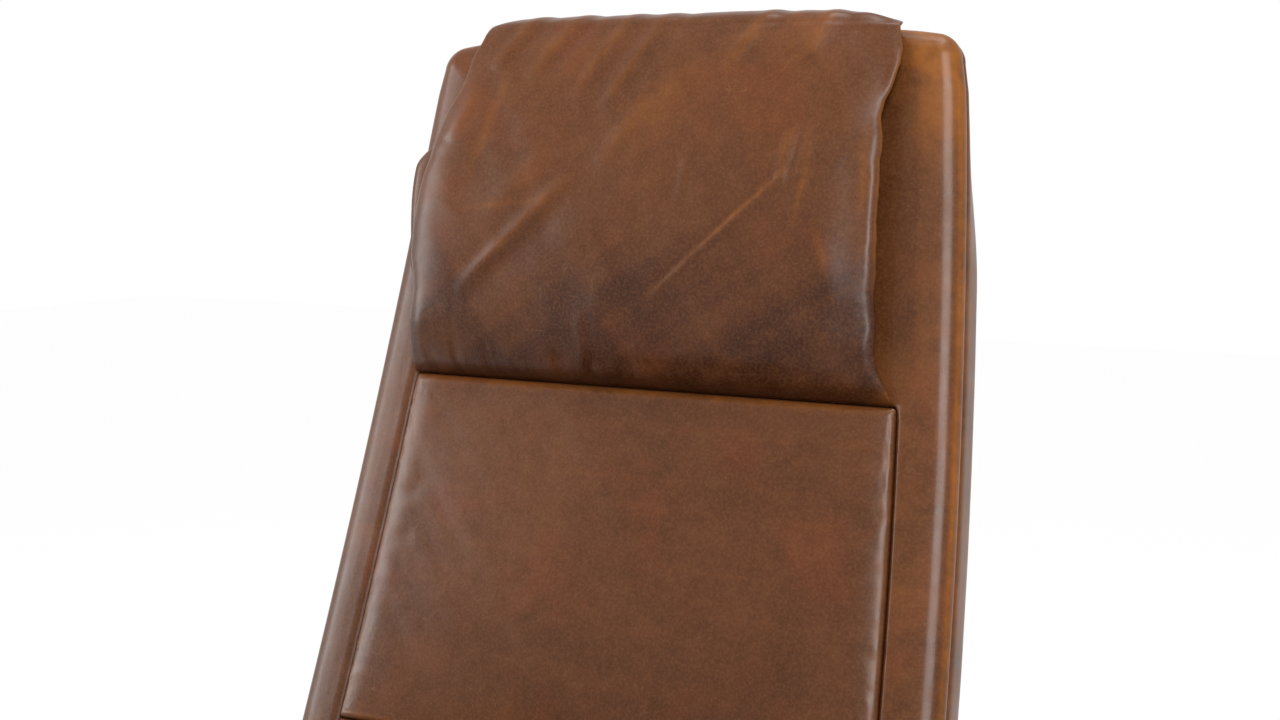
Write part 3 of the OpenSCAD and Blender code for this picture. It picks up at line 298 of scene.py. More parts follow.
def outline(lo, hi, wide, radius, inset=0.0, bow=0.0, top=None, stations=None):
    """A closed outline in (x, s): ends that bow out by bow (1 - u^2), round corners, and sides at
    x = wide(s) - inset. The corners have this radius, or top at the upper end, less the inset but
    no less than a quarter of it. Returns x and s, from the middle of the foot round by the right,
    the top and the left."""
    a, b = lo + inset, hi - inset
    ra, rb = (max(r - inset, r / 4) for r in (radius, top or radius))
    wa, wb = float(wide(a)) - inset - ra, float(wide(b)) - inset - rb
    u = (np.arange(ACROSS) + 0.5) / ACROSS
    t = np.linspace(0, np.pi / 2, CORNER + 1)
    side = np.linspace(a + ra, b - rb, UP + 2)[1:-1] if stations is None else stations
    x = np.concatenate([wa * u, wa + ra * np.sin(t), wide(side) - inset, wb + rb * np.cos(t),
                        wb * u[::-1]])
    s = np.concatenate([a - bow * (1 - u * u), a + ra - ra * np.cos(t), side,
                        b - rb + rb * np.sin(t), b + bow * (1 - u[::-1] ** 2)])
    return mirrored(x, s)


def back_outline(inset):
    """The back's own outline, drawn in by an inset, with its side points always at the same s. The
    top falls away towards its corners by 7 q^2, with q the share of the last three tenths."""
    x, s = outline(SHELL_FOOT, BACK_L, half_width, FOOT_R, inset, BOW, TOP_R, SIDE_STATIONS)
    q = unit((np.abs(x) / half_width(s) - 0.7) / 0.3)
    return x, s - 7 * q * q * smooth((s - 640) / 80)


print("the back's top is at", on_back(0, BACK_L, 0).round(1))

# %% [markdown]
# ## The outer shell
# On the real chair a moulded shell is covered with one hide, drawn round the sides to a stitched
# seam. Rings that follow the back's outline step from the seam over the side and round the rear
# edge, then shrink to the middle of the rear. The lining turns the lip inwards, so the piece is a
# closed tray. A low bulge and a little unevenness keep the rear from looking moulded.


# %% The shell's cover
def taper(x, s, depth):
    """Draws the rear of the top corners in by up to 18 mm, and down by half of that: the step grows
    with the depth, with the height over s = 520 and with the 6th power of the width's share."""
    pull = 18 * smooth((s - 520) / 220) * smooth(depth / 42) * (np.abs(x) / half_width(s)) ** 6
    return x - np.sign(x) * pull, s - 0.5 * pull


def round_top(x, s, inset, radius):
    """Rounds the top corners of a ring to this radius. p and q are a point's shares of the radius
    past the corner's centre, sideways and up, and both are scaled by max(p, q) / hypot(p, q)."""
    p = unit(1 - (half_width(s) - np.abs(x) - inset) / radius)
    q = unit(1 - (BACK_L - s - inset) / radius)
    k = np.where(p * q > 0, np.maximum(p, q) / np.maximum(np.hypot(p, q), 1e-6), 1)
    return x + np.sign(x) * (k - 1) * p * radius, s + (k - 1) * q * radius


def drawn_in(x, s, inset, depth):
    """Rounds the top corners, to a radius of 31 mm at the rear, and then tapers them."""
    return taper(*round_top(x, s, inset, 1 + 30 * smooth(depth / 40)), depth)


def corner_lift(x, s, depth):
    """How far forward the rear of the top corners comes, up to 16 mm at the very corner."""
    return 16 * smooth(depth / 50) * smooth((s - 590) / 100) * (np.abs(x) / half_width(s)) ** 4


# How deep behind the seam each ring lies, and how far it is drawn in
SHELL_SKIN = [[0, 1.6], [1, -0.1], [3, -0.9], [15, -1.2], [33, 1], [41, 7], [46.5, 17], [50, 36]]
SHELL_LINING = [[0, 5.5], [2, 9], [14, 10.4], [43, 12], [45, 24]]
REAR_BULGE = 4.0


def shell_cover():
    """The lining from its inner edge out to the seam, then the skin round to the rear edge, then
    the last outline shrunk by a factor that falls to a twentieth. The rear bulges by 4 mm times
    (1 - u^2) (1 - w^2), with u and w the shares of the half width and half height."""
    skin = Skin()
    for depth, inset in levels(SHELL_LINING, 12)[::-1]:
        x, s = drawn_in(*back_outline(inset), inset, depth)
        skin.add(on_back(x, s, SEAM_N - depth + 0.4 + corner_lift(x, s, depth)), dark=0.6)
    for depth, inset in levels(SHELL_SKIN, 32):
        x, s = back_outline(inset)
        swell = 1.1 * ripple(s / 700, 5) * np.sin(np.pi * min(depth / (SEAM_N - REAR_N), 1))
        x, s = drawn_in(x, s, inset, depth)
        n = SEAM_N - depth + 0.3 * swell + corner_lift(x, s, depth)
        skin.add(on_back(x + np.sign(x) * swell * 0.4, s, n),
                 dark=0.9 * smooth((1.6 - depth) / 1.2),
                 worn=0.8 * bump((depth - 14) / 20) + 0.1 * ripple(s / 60, 9))
    middle, half = (SHELL_FOOT + BACK_L) / 2, (BACK_L - SHELL_FOOT) / 2
    for k in np.linspace(0.96, 0.05, 26):
        kx, ks = x * k, middle + (s - middle) * k
        u, w = kx / (half_width(ks) - inset), (ks - middle) / (half - inset)
        bulge = REAR_BULGE * unit(1 - u * u) * unit(1 - w * w)
        dent = 0.5 * ripple(kx / 520, 8) * ripple(ks / 460, 13) * (1 - k ** 4)
        skin.add(on_back(kx, ks, REAR_N - bulge - dent + corner_lift(kx, ks, depth)),
                 dark=0.12 + 0.2 * ripple(ks / 400 + kx / 900, 10))
    return skin.made("back_shell_cover")


shell = shell_cover()

# %% [markdown]
# ## The border
# A band of leather runs round the panels. From the outer seam it rises over a soft edge, slopes to
# the panels and dives into their seam. Its profile is carried round the outline as rings that close
# on themselves. The leather is stretched, and so lighter, on the edge beside the outer seam.


# %% The border band
# From the outer seam to the window: the height n of each ring and how far it is drawn in
BORDER_FRONT = [[SEAM_N + 1.2, 4.0], [SEAM_N + 1.6, 1.9], [-14.6, 0.2], [-12.8, -1.3], [-9.5, -2.0],
                [-5.5, -1.4], [-2, 0.8], [1.2, 5.2], [3.9, 12], [5.9, 24], [6.9, 34]]
# Down into the panels' seam: how far the window's line is drawn in and its height
WINDOW_DIVE = ((-0.5, 5.0), (-0.15, 4.3), (0.05, 2.6), (0.1, -5.0), (0.0, -12), (-1.0, SEAM_N + 0.8))


def window_line(inset):
    """The window that the panels fill, inset past the border's width: the outline's lower part,
    then a small round corner, then straight across at the head pillow's seam. It has as many
    points as the back's outline, so that the two can be joined point by point."""
    x, s = outline(SHELL_FOOT, BACK_L, half_width, 62, BORDER_W + inset, BOW, 62, SIDE_STATIONS)
    r, top = 5.0, HEAD_S + 1.5 - inset
    keep = ACROSS + CORNER + 1 + int((SIDE_STATIONS < top - r - 3).sum())
    turn = np.linspace(0, np.pi / 2, 10)[1:]
    rest = len(x) // 2 - keep - len(turn)
    wide = float(half_width(top)) - BORDER_W - inset - r
    across = wide * (1 - (np.arange(rest) + 1) / (rest + 0.5))
    return mirrored(np.concatenate([x[:keep], wide + r * np.cos(turn), across]),
                    np.concatenate([s[:keep], top - r + r * np.sin(turn), np.full(rest, top)]))


def border_band():
    """Each ring is the back's outline drawn in by an inset at a height n: it rises from the outer
    seam, rounds the edge and slopes in. Then rings blend point by point into the window's line, so
    that one hide also covers the head, dive into the panels' seam and come back underneath."""
    band = Skin()

    def add(x, s, n, inset, dark=0.0):
        outer = (n > -16.4) * 1.0
        gathers = 0.3 * ripple(s / 60, 3) + 0.2 * ripple(s / 23, 4)
        pucker = bump((inset - 42) / 7) * (s < HEAD_S + 8) * gathers
        slow = 0.35 * ripple(s / 330, 6) * bump((inset - 20) / 14)
        strip = smooth((n + 15) / 3) * smooth((3.4 - inset) / 4.4) * np.where(x > 0, 1, 0.35)
        corner = smooth((s - 600) / 110) * smooth((x / half_width(s) - 0.78) / 0.16) * outer
        seam = 0.9 * bump((inset - 46.2) / 0.9) * (s < HEAD_S + 6)
        # Painted shade on the head area beside and under the pillow's right edge
        shade_under_pillow = 0.5 * smooth((inset - 26) / 12) * smooth((s - HEAD_S) / 60) * (x > 0)
        # The 0.16 more worn on the right half is a painted lighter side, where the light falls
        band.add(on_back(x, s, n + (pucker + slow) * outer), dark + seam + shade_under_pillow,
                 strip * outer + 0.95 * corner + 0.16 * (x > 0) + 0.12 * ripple(s / 90, 12))

    for n, inset in levels(BORDER_FRONT, 52):
        add(*back_outline(inset), n, inset, 0.9 * smooth((-13.9 - n) / 1.2))
    (x0, s0), (x1, s1) = back_outline(34), window_line(-1.6)
    for q in (0.12, 0.25, 0.4, 0.55, 0.68, 0.8, 0.9, 0.96, 1.0):
        n = np.interp(q, [0, 0.3, 0.6, 0.8, 0.93, 1], [6.9, 7.2, 7.1, 6.8, 6.3, 5.6])
        add(x0 + (x1 - x0) * q, s0 + (s1 - s0) * q, n, 34 + 10.4 * q)
    for inset, n in WINDOW_DIVE:
        add(*window_line(inset), n, 46.5, 0.4)
    for q in (0.85, 0.6, 0.35, 0.0):
        add(x0 + (x1 - x0) * q, s0 + (s1 - s0) * q, SEAM_N + 0.7, 34, 0.4)
    for inset in (18, 7):
        add(*back_outline(inset), SEAM_N + 0.8, inset, 0.4)
    return band.made("back_border_band", loop=True)


border = border_band()

# %% [markdown]
# ## The two back panels
# Foam under tight leather: a low crown, an edge that rolls down into the seam, and short puckers
# where the stitches gather the hide. A cloth simulation would blow the panels into the border, so
# here the crown, the roll and the puckers are written as functions of the distance to the seam.


# %% Panels
PANEL_GAP, PANEL_EDGE_N = 0.15, 4.2
# The panel's sides below its face: the height of each ring and how far it is drawn in
PANEL_SIDE = ((-22.9, 4.0), (-22.9, 1.0), (-20, 0.3), (-12, 0.05), (-4, 0.0), (2.8, 0.05))
# Shallow dents: a line's start x, s and end x, s, then a width and a height
PANEL_DENTS = ((-236, 296, -196, 318, 9, -0.7), (-232, 262, -200, 270, 8, -0.5),
               (236, 330, 206, 318, 6, -0.8), (150, 412, 168, 376, 9, -0.8))


def panel_pad(name, lo, hi, foot_r, crown, seed, dents=()):
    """Rings from the rear face outwards, over the rolled edge and in to the middle. The height is a
    function of the place alone. With dx, dl and dh the distances to the side, lower and upper seams
    and roll(d, r) = sqrt(1 - (1 - d / r)^2), the edge rises by 7.4 * (0.22 roll(dx, 3) +
    0.78 roll(dx, 26)) * roll(dl, 5) * roll(dh, 8). Added to it are a crown (1 - |u|^2.4)
    (1 - |v|^2.4), gathers that fade as exp(-dx / 9) from the sides and as exp(-d / 8) from the
    ends, a slow wave and dents."""
    wide = lambda s: half_width(s) - BORDER_W - PANEL_GAP
    roll = lambda d, r: np.sqrt(unit(1 - (1 - unit(d / r)) ** 2))
    half, middle = (hi - lo) / 2, (hi + lo) / 2
    skin = Skin()

    def face(x, s):
        dx = np.clip(wide(s) - np.abs(x), 0, None)
        dl, dh = np.clip(s - lo, 0, None), np.clip(hi - s, 0, None)
        ends = np.minimum(dl, dh)
        edge = np.minimum(dx, ends)
        u, v = np.abs(x) / wide(s), np.abs(s - middle) / half
        rise = 7.4 * (0.22 * roll(dx, 3) + 0.78 * roll(dx, 26)) * roll(dl, 5) * roll(dh, 8)
        rise = rise + crown * unit(1 - u**2.4) * unit(1 - v**2.4)
        side_puckers = 1.0 * ripple(s / 31, seed) + 0.5 * ripple(s / 12, seed + 1)
        side = np.exp(-dx / 9) * smooth(dx / 2.5) * side_puckers
        end_puckers = 0.7 * ripple(x / 41, seed + 3) + 0.3 * ripple(x / 13, seed + 4)
        gather = np.exp(-ends / 8) * smooth(ends / 2.5) * end_puckers
        wave = 0.8 * ripple(x / 260 + s / 310, seed + 2) * smooth(dx / 40) * smooth(ends / 30)
        for dent in dents:
            wave = wave + fold(x, s, *dent) * smooth(dx / 4)
        skin.add(on_back(x, s, PANEL_EDGE_N + rise + side + gather + wave),
                 0.8 * bump(edge / 0.9) + 0.16 * ripple(s / 80 + x / 120, seed + 5),
                 0.25 * bump((edge - 4) / 4) + 0.1 * ripple(s / 50, seed + 6))

    for n, inset in PANEL_SIDE:
        skin.add(on_back(*outline(lo, hi, wide, foot_r, inset, 0.3, 4), n), dark=1.0)
    reach = min(110, half * 0.94)
    for inset in 0.12 + reach * np.linspace(0, 1, 44) ** 1.8:
        x, s = outline(lo, hi, wide, foot_r, inset, 0.3, 4)
        face(x, s)
    for k in (0.86, 0.72, 0.58, 0.44, 0.3, 0.16, 0.06):
        face(x * k, middle + (s - middle) * k)
    return skin.made(name)


back_panel = panel_pad("back_panel_pad", LUMBAR_S + PANEL_GAP, HEAD_S - 0.1, 4, 10.0, 21, PANEL_DENTS)
lumbar_panel = panel_pad("lumbar_panel_pad", 2.0, LUMBAR_S - PANEL_GAP, 14, 8.0, 31)

# %% [markdown]
# ## The head pillow
# A soft bag, sewn in along its lower seam and laid over the top of the back. Across the chair it is
# a lens with thin folded edges that stand off the border. A bag like this could be simulated, but
# its folds would fall anywhere. The section is written as a function of the side parameter and of
# the way along a path that climbs the front, turns over the top and hangs down behind, and each
# fold is a ridge along a line.

# %% The pillow's path and edges
# The pillow lies this far off the leather, which stands out past the back's outline by a little
PILLOW_GAP, BORDER_PROUD = 0.3, 2.07
TOP_S = BACK_L + BOW + BORDER_PROUD + PILLOW_GAP
REST_N, BEHIND_N = PANEL_N + PILLOW_GAP, REAR_N - REAR_BULGE - PILLOW_GAP
REAR_DROP = 190.0
# Where the folded edge wanders, as steps along s and how far it stands out past the border's seam
EDGE_S = [417, 428, 440, 480, 528, 598, 633, 645, 657, 668, 685, 706, 722, 760]
EDGE_RIGHT = [-2.5, -5, -10, -12, -11, -9.4, -7.2, -8.2, -6, -1.6, 3.4, 6.6, 4.6, 1]
EDGE_LEFT = [3, 2.5, 2, 4, 16.5, 18.5, 12, 8, 3.5, -2, -6, -8, -13, -16]
# The thickness in the middle, and how far the folded side edges stand off the back, along v
THICK_AT = [0, 0.02, 0.06, 0.12, 0.25, 0.45, 0.65, 0.82, 0.9, 0.95, 0.98,
            1.0, 1.05, 1.25, 1.5, 1.8, 2.15, 2.4, 2.7, 2.92, 3]
THICK = [3, 14, 25, 34, 42, 42, 38, 32, 28, 24.5, 21.5,
         19.5, 18.6, 19, 18, 19, 24, 27, 26, 20, 6]
TIP_AT = [0, 0.04, 0.12, 0.22, 0.8, 0.97, 1.1, 1.5, 2.0, 2.5, 3.0]
TIP_LEFT = [0.4, 7, 20, 25, 24, 17, 9, 3, 5, 8, 3]
TIP_RIGHT = [0.4, 6, 15, 18, 18, 11, 3.6, 0.6, 3, 8, 3]


def by_part(v, front, over, rear):
    """One of three values, by the part of the path: v from 0 to 1 climbs the front, 1 to 2 turns
    over the top, and 2 to 3 hangs down behind."""
    return np.where(v <= 1, front, np.where(v <= 2, over, rear))


def pillow_path(v):
    """The inner line's s and n, and the direction of its outward normal as an angle from the front.
    The line runs straight up, level over the top and straight down, and over the top the angle
    turns by half a circle."""
    front, over, rear = unit(v), unit(v - 1), unit(v - 2)
    a = np.pi * over
    turn, middle = (REST_N - BEHIND_N) / 2, (REST_N + BEHIND_N) / 2
    lift = smooth(over / 0.12) * smooth((1 - over) / 0.12)
    s = by_part(v, HEAD_S + 1 + (BACK_L - HEAD_S - 1) * front, BACK_L + (TOP_S - BACK_L) * lift,
                BACK_L - REAR_DROP * rear)
    n = by_part(v, REST_N - 4.5 * np.exp(-front / 0.008), middle + turn * np.cos(a), BEHIND_N)
    return s - 0.7 * bump(v / 0.006), n, a


def pillow_thickness(v, x):
    """Thickness in the middle: it swells quickly above the seam, thins over the top, more so on the
    right, puffs up near that corner, and hangs thick again behind before it closes."""
    right = smooth((x + 40) / 240) * smooth((v - 0.6) / 0.5) * smooth((2.3 - v) / 0.4)
    puffed = 3.5 * bump((x - 176) / 34) * bump((v - 1.25) / 0.4)
    return through(THICK_AT, THICK, v) - 3.5 * right + puffed


def pillow_sides(v, s):
    """Half the width that lies on the back, and the distances of the left and right edges from the
    middle. The lower corners of the rear flap are rounded, and both edges wander a little."""
    reach = by_part(v, s, 722 + 38 * smooth(v - 1), 722)
    flat = half_width(np.minimum(s, BACK_L)) - BORDER_W - 0.6
    right = (flat + through(EDGE_S, EDGE_RIGHT, reach) - 22 * smooth((v - 1.04) / 0.4)
             + 14 * smooth((v - 2) / 0.6))
    left = flat + through(EDGE_S, EDGE_LEFT, reach) + 8 * smooth((v - 1.6) / 0.8)
    hanging = unit((v - 2.6) / 0.4)
    rounded = 22 * (1 - np.sqrt(1 - hanging ** 2))
    wander = 1.4 * ripple(s / 110, 51) * smooth((s - 430) / 60)
    return flat, left - rounded + 0.6 * wander, right - rounded + wander


print("pillow over the top at s", TOP_S)

# %% Folds of the pillow
# Each row is a line's start x, s and end x, s, then a width and a height. First come the folds of
# the face, then the gathers that run down from the top
PILLOW_FOLDS = [
    (-172, 484, -66, 596, 8, 4.4), (-176, 470, -70, 570, 22, -2.6), (-120, 520, -20, 650, 30, -2.2),
    (-46, 600, -6, 658, 10, 2.4), (-10, 640, 40, 700, 16, 2.0), (30, 470, 150, 566, 26, -1.8),
    (206, 655, 212, 500, 8, 2.6), (184, 640, 194, 470, 14, -1.8), (130, 630, 124, 585, 6, 1.5),
    (158, 560, 182, 480, 10, 1.2), (56, 600, 54, 560, 9, 1.0), (-206, 625, -180, 676, 10, 2.2),
    (-150, 556, -96, 616, 10, 1.2), (-186, 560, -140, 650, 20, -2.0), (60, 730, 170, 690, 20, 1.2),
    (160, 735, 215, 660, 13, -1.8), (-150, 735, -60, 690, 20, 1.2), (60, 655, 175, 600, 26, 1.4),
    (-46, 474, -38, 414, 6, 2.0), (-20, 520, -34, 440, 16, 1.5), (150, 500, 215, 455, 18, -1.8),
    (205, 470, 226, 418, 10, 2.2), (-214, 470, -196, 420, 12, 1.6)]
for x0, x1, far in ((-34, -80, 660), (2, -50, 650), (-84, -130, 680), (-130, -170, 690),
                    (96, 60, 680), (150, 130, 690)):
    PILLOW_FOLDS += [(x0, 744, x1, far, 8, 2.6), (x0 + 16, 744, x1 + 16, far + 6, 9, -1.8)]
PILLOW_CREASES = ((16, 486, 130, 600, 4, 2.5), (146, 645, 137, 590, 5, -2.2),
                  (126, 606, 140, 548, 6, 1.5), (36, 616, 33, 566, 6, -1.6))
# Pale lines along creases, partly rubbed wear and partly painted highlight: the same kind of row, its
# last number how pale
CREASE_WEAR_AND_HIGHLIGHTS = ((16, 486, 130, 600, 2.4, 0.55), (158, 560, 186, 478, 3, 0.4),
                (140, 548, 150, 618, 3, 0.35), (-180, 560, -90, 570, 3, 0.25),
                (-150, 690, -176, 590, 5, 0.3), (196, 560, 190, 640, 4, 0.3))
# Tucks at the seam: the place across, the depth and the width
PILLOW_TUCKS = ((-203, -2.2, 5), (-175, -2.6, 6), (-141, -2.0, 6), (-38, -2.8, 5), (133, -2.4, 7))


def pillow_folds(x, s):
    """The sum of the folds and creases, in millimetres out of the surface, and of faint streaks
    that run the same way: a ripple of (1.1 x - s) / 1.49, which is the distance across them."""
    h = sum(fold(x, s, *row) for row in PILLOW_FOLDS) + sum(crease(x, s, *row) for row in PILLOW_CREASES)
    across, along = (1.1 * x - s) / 1.49, (x + 1.1 * s) / 1.49
    streaks = ripple(across / 120 + 0.15 * ripple(along / 300, 68), 66, 5, 1, 3.2)
    return h + 0.9 * smooth((s - 500) / 90) * streaks * (0.6 + 0.4 * ripple(along / 260, 67))


def pillow_tucks(x, s):
    """Short gathers above the bottom seam with a few deeper tucks, fading as exp(-up / 20)."""
    up = s - HEAD_S
    h = 1.5 * ripple(x / 95, 41) + 0.8 * ripple(x / 33, 42)
    for place, depth, width in PILLOW_TUCKS:
        h = h + depth * bump((x - place) / width)
    return h * np.exp(-up / 20) * smooth(up / 5)


# %% [markdown]
# The section is one closed loop. Its outer half is the crowned sheet from edge to edge, its inner
# half lies flat on the back and curls out to the edges. On the left the rear sheet swells past the
# edge, as on the real chair, where it shows as a second, shaded lobe.


# %% The pillow's surface
OUTER_COLS, INNER_COLS = 224, 124
LOBE_AT = [0, 0.12, 0.25, 0.4, 0.55, 0.68, 0.8, 0.9]
LOBE_OUT = [-8, 10, 23, 32, 36, 34, 26, 14]
LOBE_HIGH = [0, 0.6, 3.0, 7, 11.5, 15.5, 17.5, 16.5]


def lobe_shift(turn, s, flat, left, tip):
    """The rear half of the bag on its left side, from the front edge (turn 1) in to where it lies
    flat (turn 0): a crease, then a swelling that reaches further out than the edge, more so
    higher up."""
    out = np.interp(turn, LOBE_AT, LOBE_OUT) * (0.46 + 0.62 * smooth((s - 470) / 130))
    last = smooth((turn - 0.9) / 0.1)
    return (flat + out + (left - flat - 14) * last,
            np.interp(turn, LOBE_AT, LOBE_HIGH) + (tip - 18.5) * last)


def pillow_bag():
    """A row for each step along the path, and a column for each point round the section: the
    crowned outer sheet from the left edge to the right, then the inner sheet back."""
    v = np.concatenate([np.linspace(0, 0.12, 22)[:-1], np.linspace(0.12, 1, 124)[:-1],
                        np.linspace(1, 2, 46)[:-1], np.linspace(2, 3, 44)])[:, None]
    t = np.linspace(-1, 1, OUTER_COLS)
    back = np.linspace(1, -1, INNER_COLS + 2)[1:-1]
    u = np.concatenate([0.45 * t + 0.55 * np.sin(np.pi * t / 2), back])[None, :]
    outer = (np.arange(OUTER_COLS + INNER_COLS) < OUTER_COLS)[None, :]
    inside, turn = smooth((1 - np.abs(u)) / 0.05), unit((np.abs(u) - 0.8) / 0.2)

    s, n, a = pillow_path(v)
    flat, left, right = pillow_sides(v, s)
    x = np.where(u > 0, u * right, u * left)
    fuller = smooth((s - 450) / 50) * smooth((670 - s) / 60) * (v <= 1) * smooth((-u - 0.4) / 0.4)
    tip = np.where(u > 0, through(TIP_AT, TIP_RIGHT, v), through(TIP_AT, TIP_LEFT, v))
    tip = tip * (1 - 0.3 * fuller)
    s = s - 3.5 * smooth((u - 0.86) / 0.14) * smooth((v - 1) / 0.1) * smooth((2 - v) / 0.1)
    crown = unit(1 - np.abs(u) ** (13 - 9 * smooth((u + 0.1) / 0.7))) ** 0.54
    edge_half = 0.6 + 1.8 * smooth((s - HEAD_S) / 16)
    h_outer = tip + edge_half + (pillow_thickness(v, x) - tip - edge_half) * crown

    s_folds = np.where(v <= 1, s, s + (v - 1) * 30)
    swell = 0.8 * ripple(x / 310 + s_folds / 520, 61) + 0.8 * ripple(s_folds / 380 - x / 600, 62)
    folds = (0.75 * pillow_folds(x, s_folds) + swell) * inside
    folds = folds * smooth((s - HEAD_S - 4) / 20) * np.where(v > 2, 0.5, 1)
    tucks = pillow_tucks(x, s) * (v <= 1) * inside

    share = np.where(v <= 1, smooth((s - 456) / 60) * smooth((652 - s) / 50), 0)
    share = share * (u < 0) * ~outer * smooth(turn / 0.05)
    lobe_x, lobe_h = lobe_shift(turn, s, flat, left, tip)
    x = x * (1 - share) - lobe_x * share
    h_inner = np.maximum(0.0, (tip - edge_half) * smooth(turn) ** 1.5) * (1 - share) + lobe_h * share
    h = np.maximum(np.where(outer, h_outer + folds + tucks, h_inner), 0)

    worn = 0.75 * bump((1 - np.abs(u)) / 0.006) + 0.36 * unit(folds / 3)
    worn = worn + 0.85 * bump((x - 222) / 9) * bump((s - 424) / 10)
    # Pale crease lines: partly rubbed wear, partly painted highlight
    for row in CREASE_WEAR_AND_HIGHLIGHTS:
        worn = worn + fold(x, s_folds, *row) * outer
    clouds = 0.62 + 0.5 * ripple(x / 190 + s / 260, 63) + 0.5 * ripple(s / 150 - x / 230, 64)
    # dark: a dark line along the bottom seam; on the lower face, darker mottling that is also painted
    # shade where the face turns down; and painted shade on the inner sheet that lies under the bag
    dark = (0.85 * np.exp(-(s - HEAD_S) / 2.5) + 1.2 * smooth((600 - s) / 130) * clouds) * (v <= 1)
    dark = dark + 0.8 * ~outer * (1 - share) * smooth((1 - turn) / 0.3)
    bag = ringed("head_pillow_bag", on_back(x, s + h * np.sin(a), n + h * np.cos(a)))
    paint(bag, dark=dark, worn=worn)
    return bag


pillow = pillow_bag()
print("pillow:", len(pillow.data.vertices), "points,", pillow["litres"], "litres")

# %% [markdown]
# ## The seat's own axes
# The seat slopes back by four degrees round the recline hinge, and the stored legrest hangs from
# the front rail, tipped the other way. Each gets a function that puts places of its own axes on
# the chair, and one that takes them back.


# %% Places on the seat and on the legrest
def tilted(origin, degrees):
    """Two functions for a frame that is turned about x at this origin. The first puts x, y, z of
    the frame on the chair, and the second takes rows of the chair's places back to the frame."""
    c, s = math.cos(math.radians(degrees)), math.sin(math.radians(degrees))

    def place(x, y, z):
        x, y, z = np.broadcast_arrays(np.asarray(x, float), y, z)
        return np.stack([x, origin[0] + y * c - z * s, origin[1] + y * s + z * c], -1)

    def flatten(co):
        dy, dz = co[:, 1] - origin[0], co[:, 2] - origin[1]
        return co[:, 0], dy * c + dz * s, dz * c - dy * s

    return place, flatten


on_seat, off_seat = tilted((HINGE_Y, HINGE_Z), -4)
LEG_Y, LEG_Z = on_seat(0, -505, -42)[1:]
on_legrest, off_legrest = tilted((LEG_Y, LEG_Z), 4)
print("legrest hinge", LEG_Y.round(2), LEG_Z.round(2))

# %% [markdown]
# ## Cushions that are really stuffed
# The seat cushion and the legrest pad are sewn bags over foam. The bag is drawn a little too small
# and blown up by a cloth simulation, so its sides swell and pull in between the corners by
# themselves. Remeshing first gives the cloth even faces. The swell is capped, then smoothed.


# %% Stuffing by simulation
def apply_modifiers(obj):
    """Makes what the modifiers show the object's own mesh."""
    bpy.context.view_layer.update()
    made = bpy.data.meshes.new_from_object(obj.evaluated_get(bpy.context.evaluated_depsgraph_get()))
    obj.modifiers.clear()
    obj.data = made
    made.polygons.foreach_set("use_smooth", np.ones(len(made.polygons), bool))


def stuffed(obj, cap, voxel, frames=20):
    """Blows a closed mesh up as cloth: a voxel remesh, then pressure without gravity, with each
    point moved at most cap metres."""
    remesh = obj.modifiers.new("even", "REMESH")
    remesh.mode, remesh.voxel_size = "VOXEL", voxel
    apply_modifiers(obj)
    start = vertex_places(obj)
    cloth = obj.modifiers.new("cloth", "CLOTH").settings
    cloth.quality = 4
    cloth.mass = 0.4
    cloth.tension_stiffness = cloth.compression_stiffness = 18
    cloth.shear_stiffness, cloth.bending_stiffness = 9, 3
    cloth.use_pressure, cloth.uniform_pressure_force = True, 5.0
    cloth.effector_weights.gravity = 0
    scene = bpy.context.scene
    for f in range(1, frames + 1):
        scene.frame_set(f)
    step = vertex_places(obj.evaluated_get(bpy.context.evaluated_depsgraph_get())) - start
    far = np.linalg.norm(step, axis=1, keepdims=True)
    place = start + step * np.minimum(1, cap / np.maximum(far, 1e-9))
    obj.modifiers.remove(obj.modifiers["cloth"])
    obj.data.vertices.foreach_set("co", place.astype(np.float32).ravel())
    scene.frame_set(1)
    print(obj.name, "swelled by up to", round(float(np.minimum(far, cap).max()) * 1000, 1), "mm")


def relaxed(obj, times, calm, axis):
    """Smooths a mesh and divides it once more. Points that face the axis are smoothed calm times
    more, because the voxels leave terraces there."""
    level = rows_of(obj.data.vertex_normals, "vector") @ np.array(axis, np.float32) > 0.96
    obj.vertex_groups.new(name="level").add(np.nonzero(level)[0].tolist(), 1.0, "REPLACE")
    for label, count in (("soften", times), ("calm", calm)):
        soften = obj.modifiers.new(label, "SMOOTH")
        soften.iterations, soften.factor = count, 0.5
    soften.vertex_group = "level"
    divide = obj.modifiers.new("divide", "SUBSURF")
    divide.levels = divide.render_levels = 1
    apply_modifiers(obj)


def reshape(obj, move):
    """Moves every vertex by a function of its places, in millimetres."""
    moved = move(vertex_places(obj) * 1000) * MM
    obj.data.vertices.foreach_set("co", moved.astype(np.float32).ravel())
    obj.data.update()


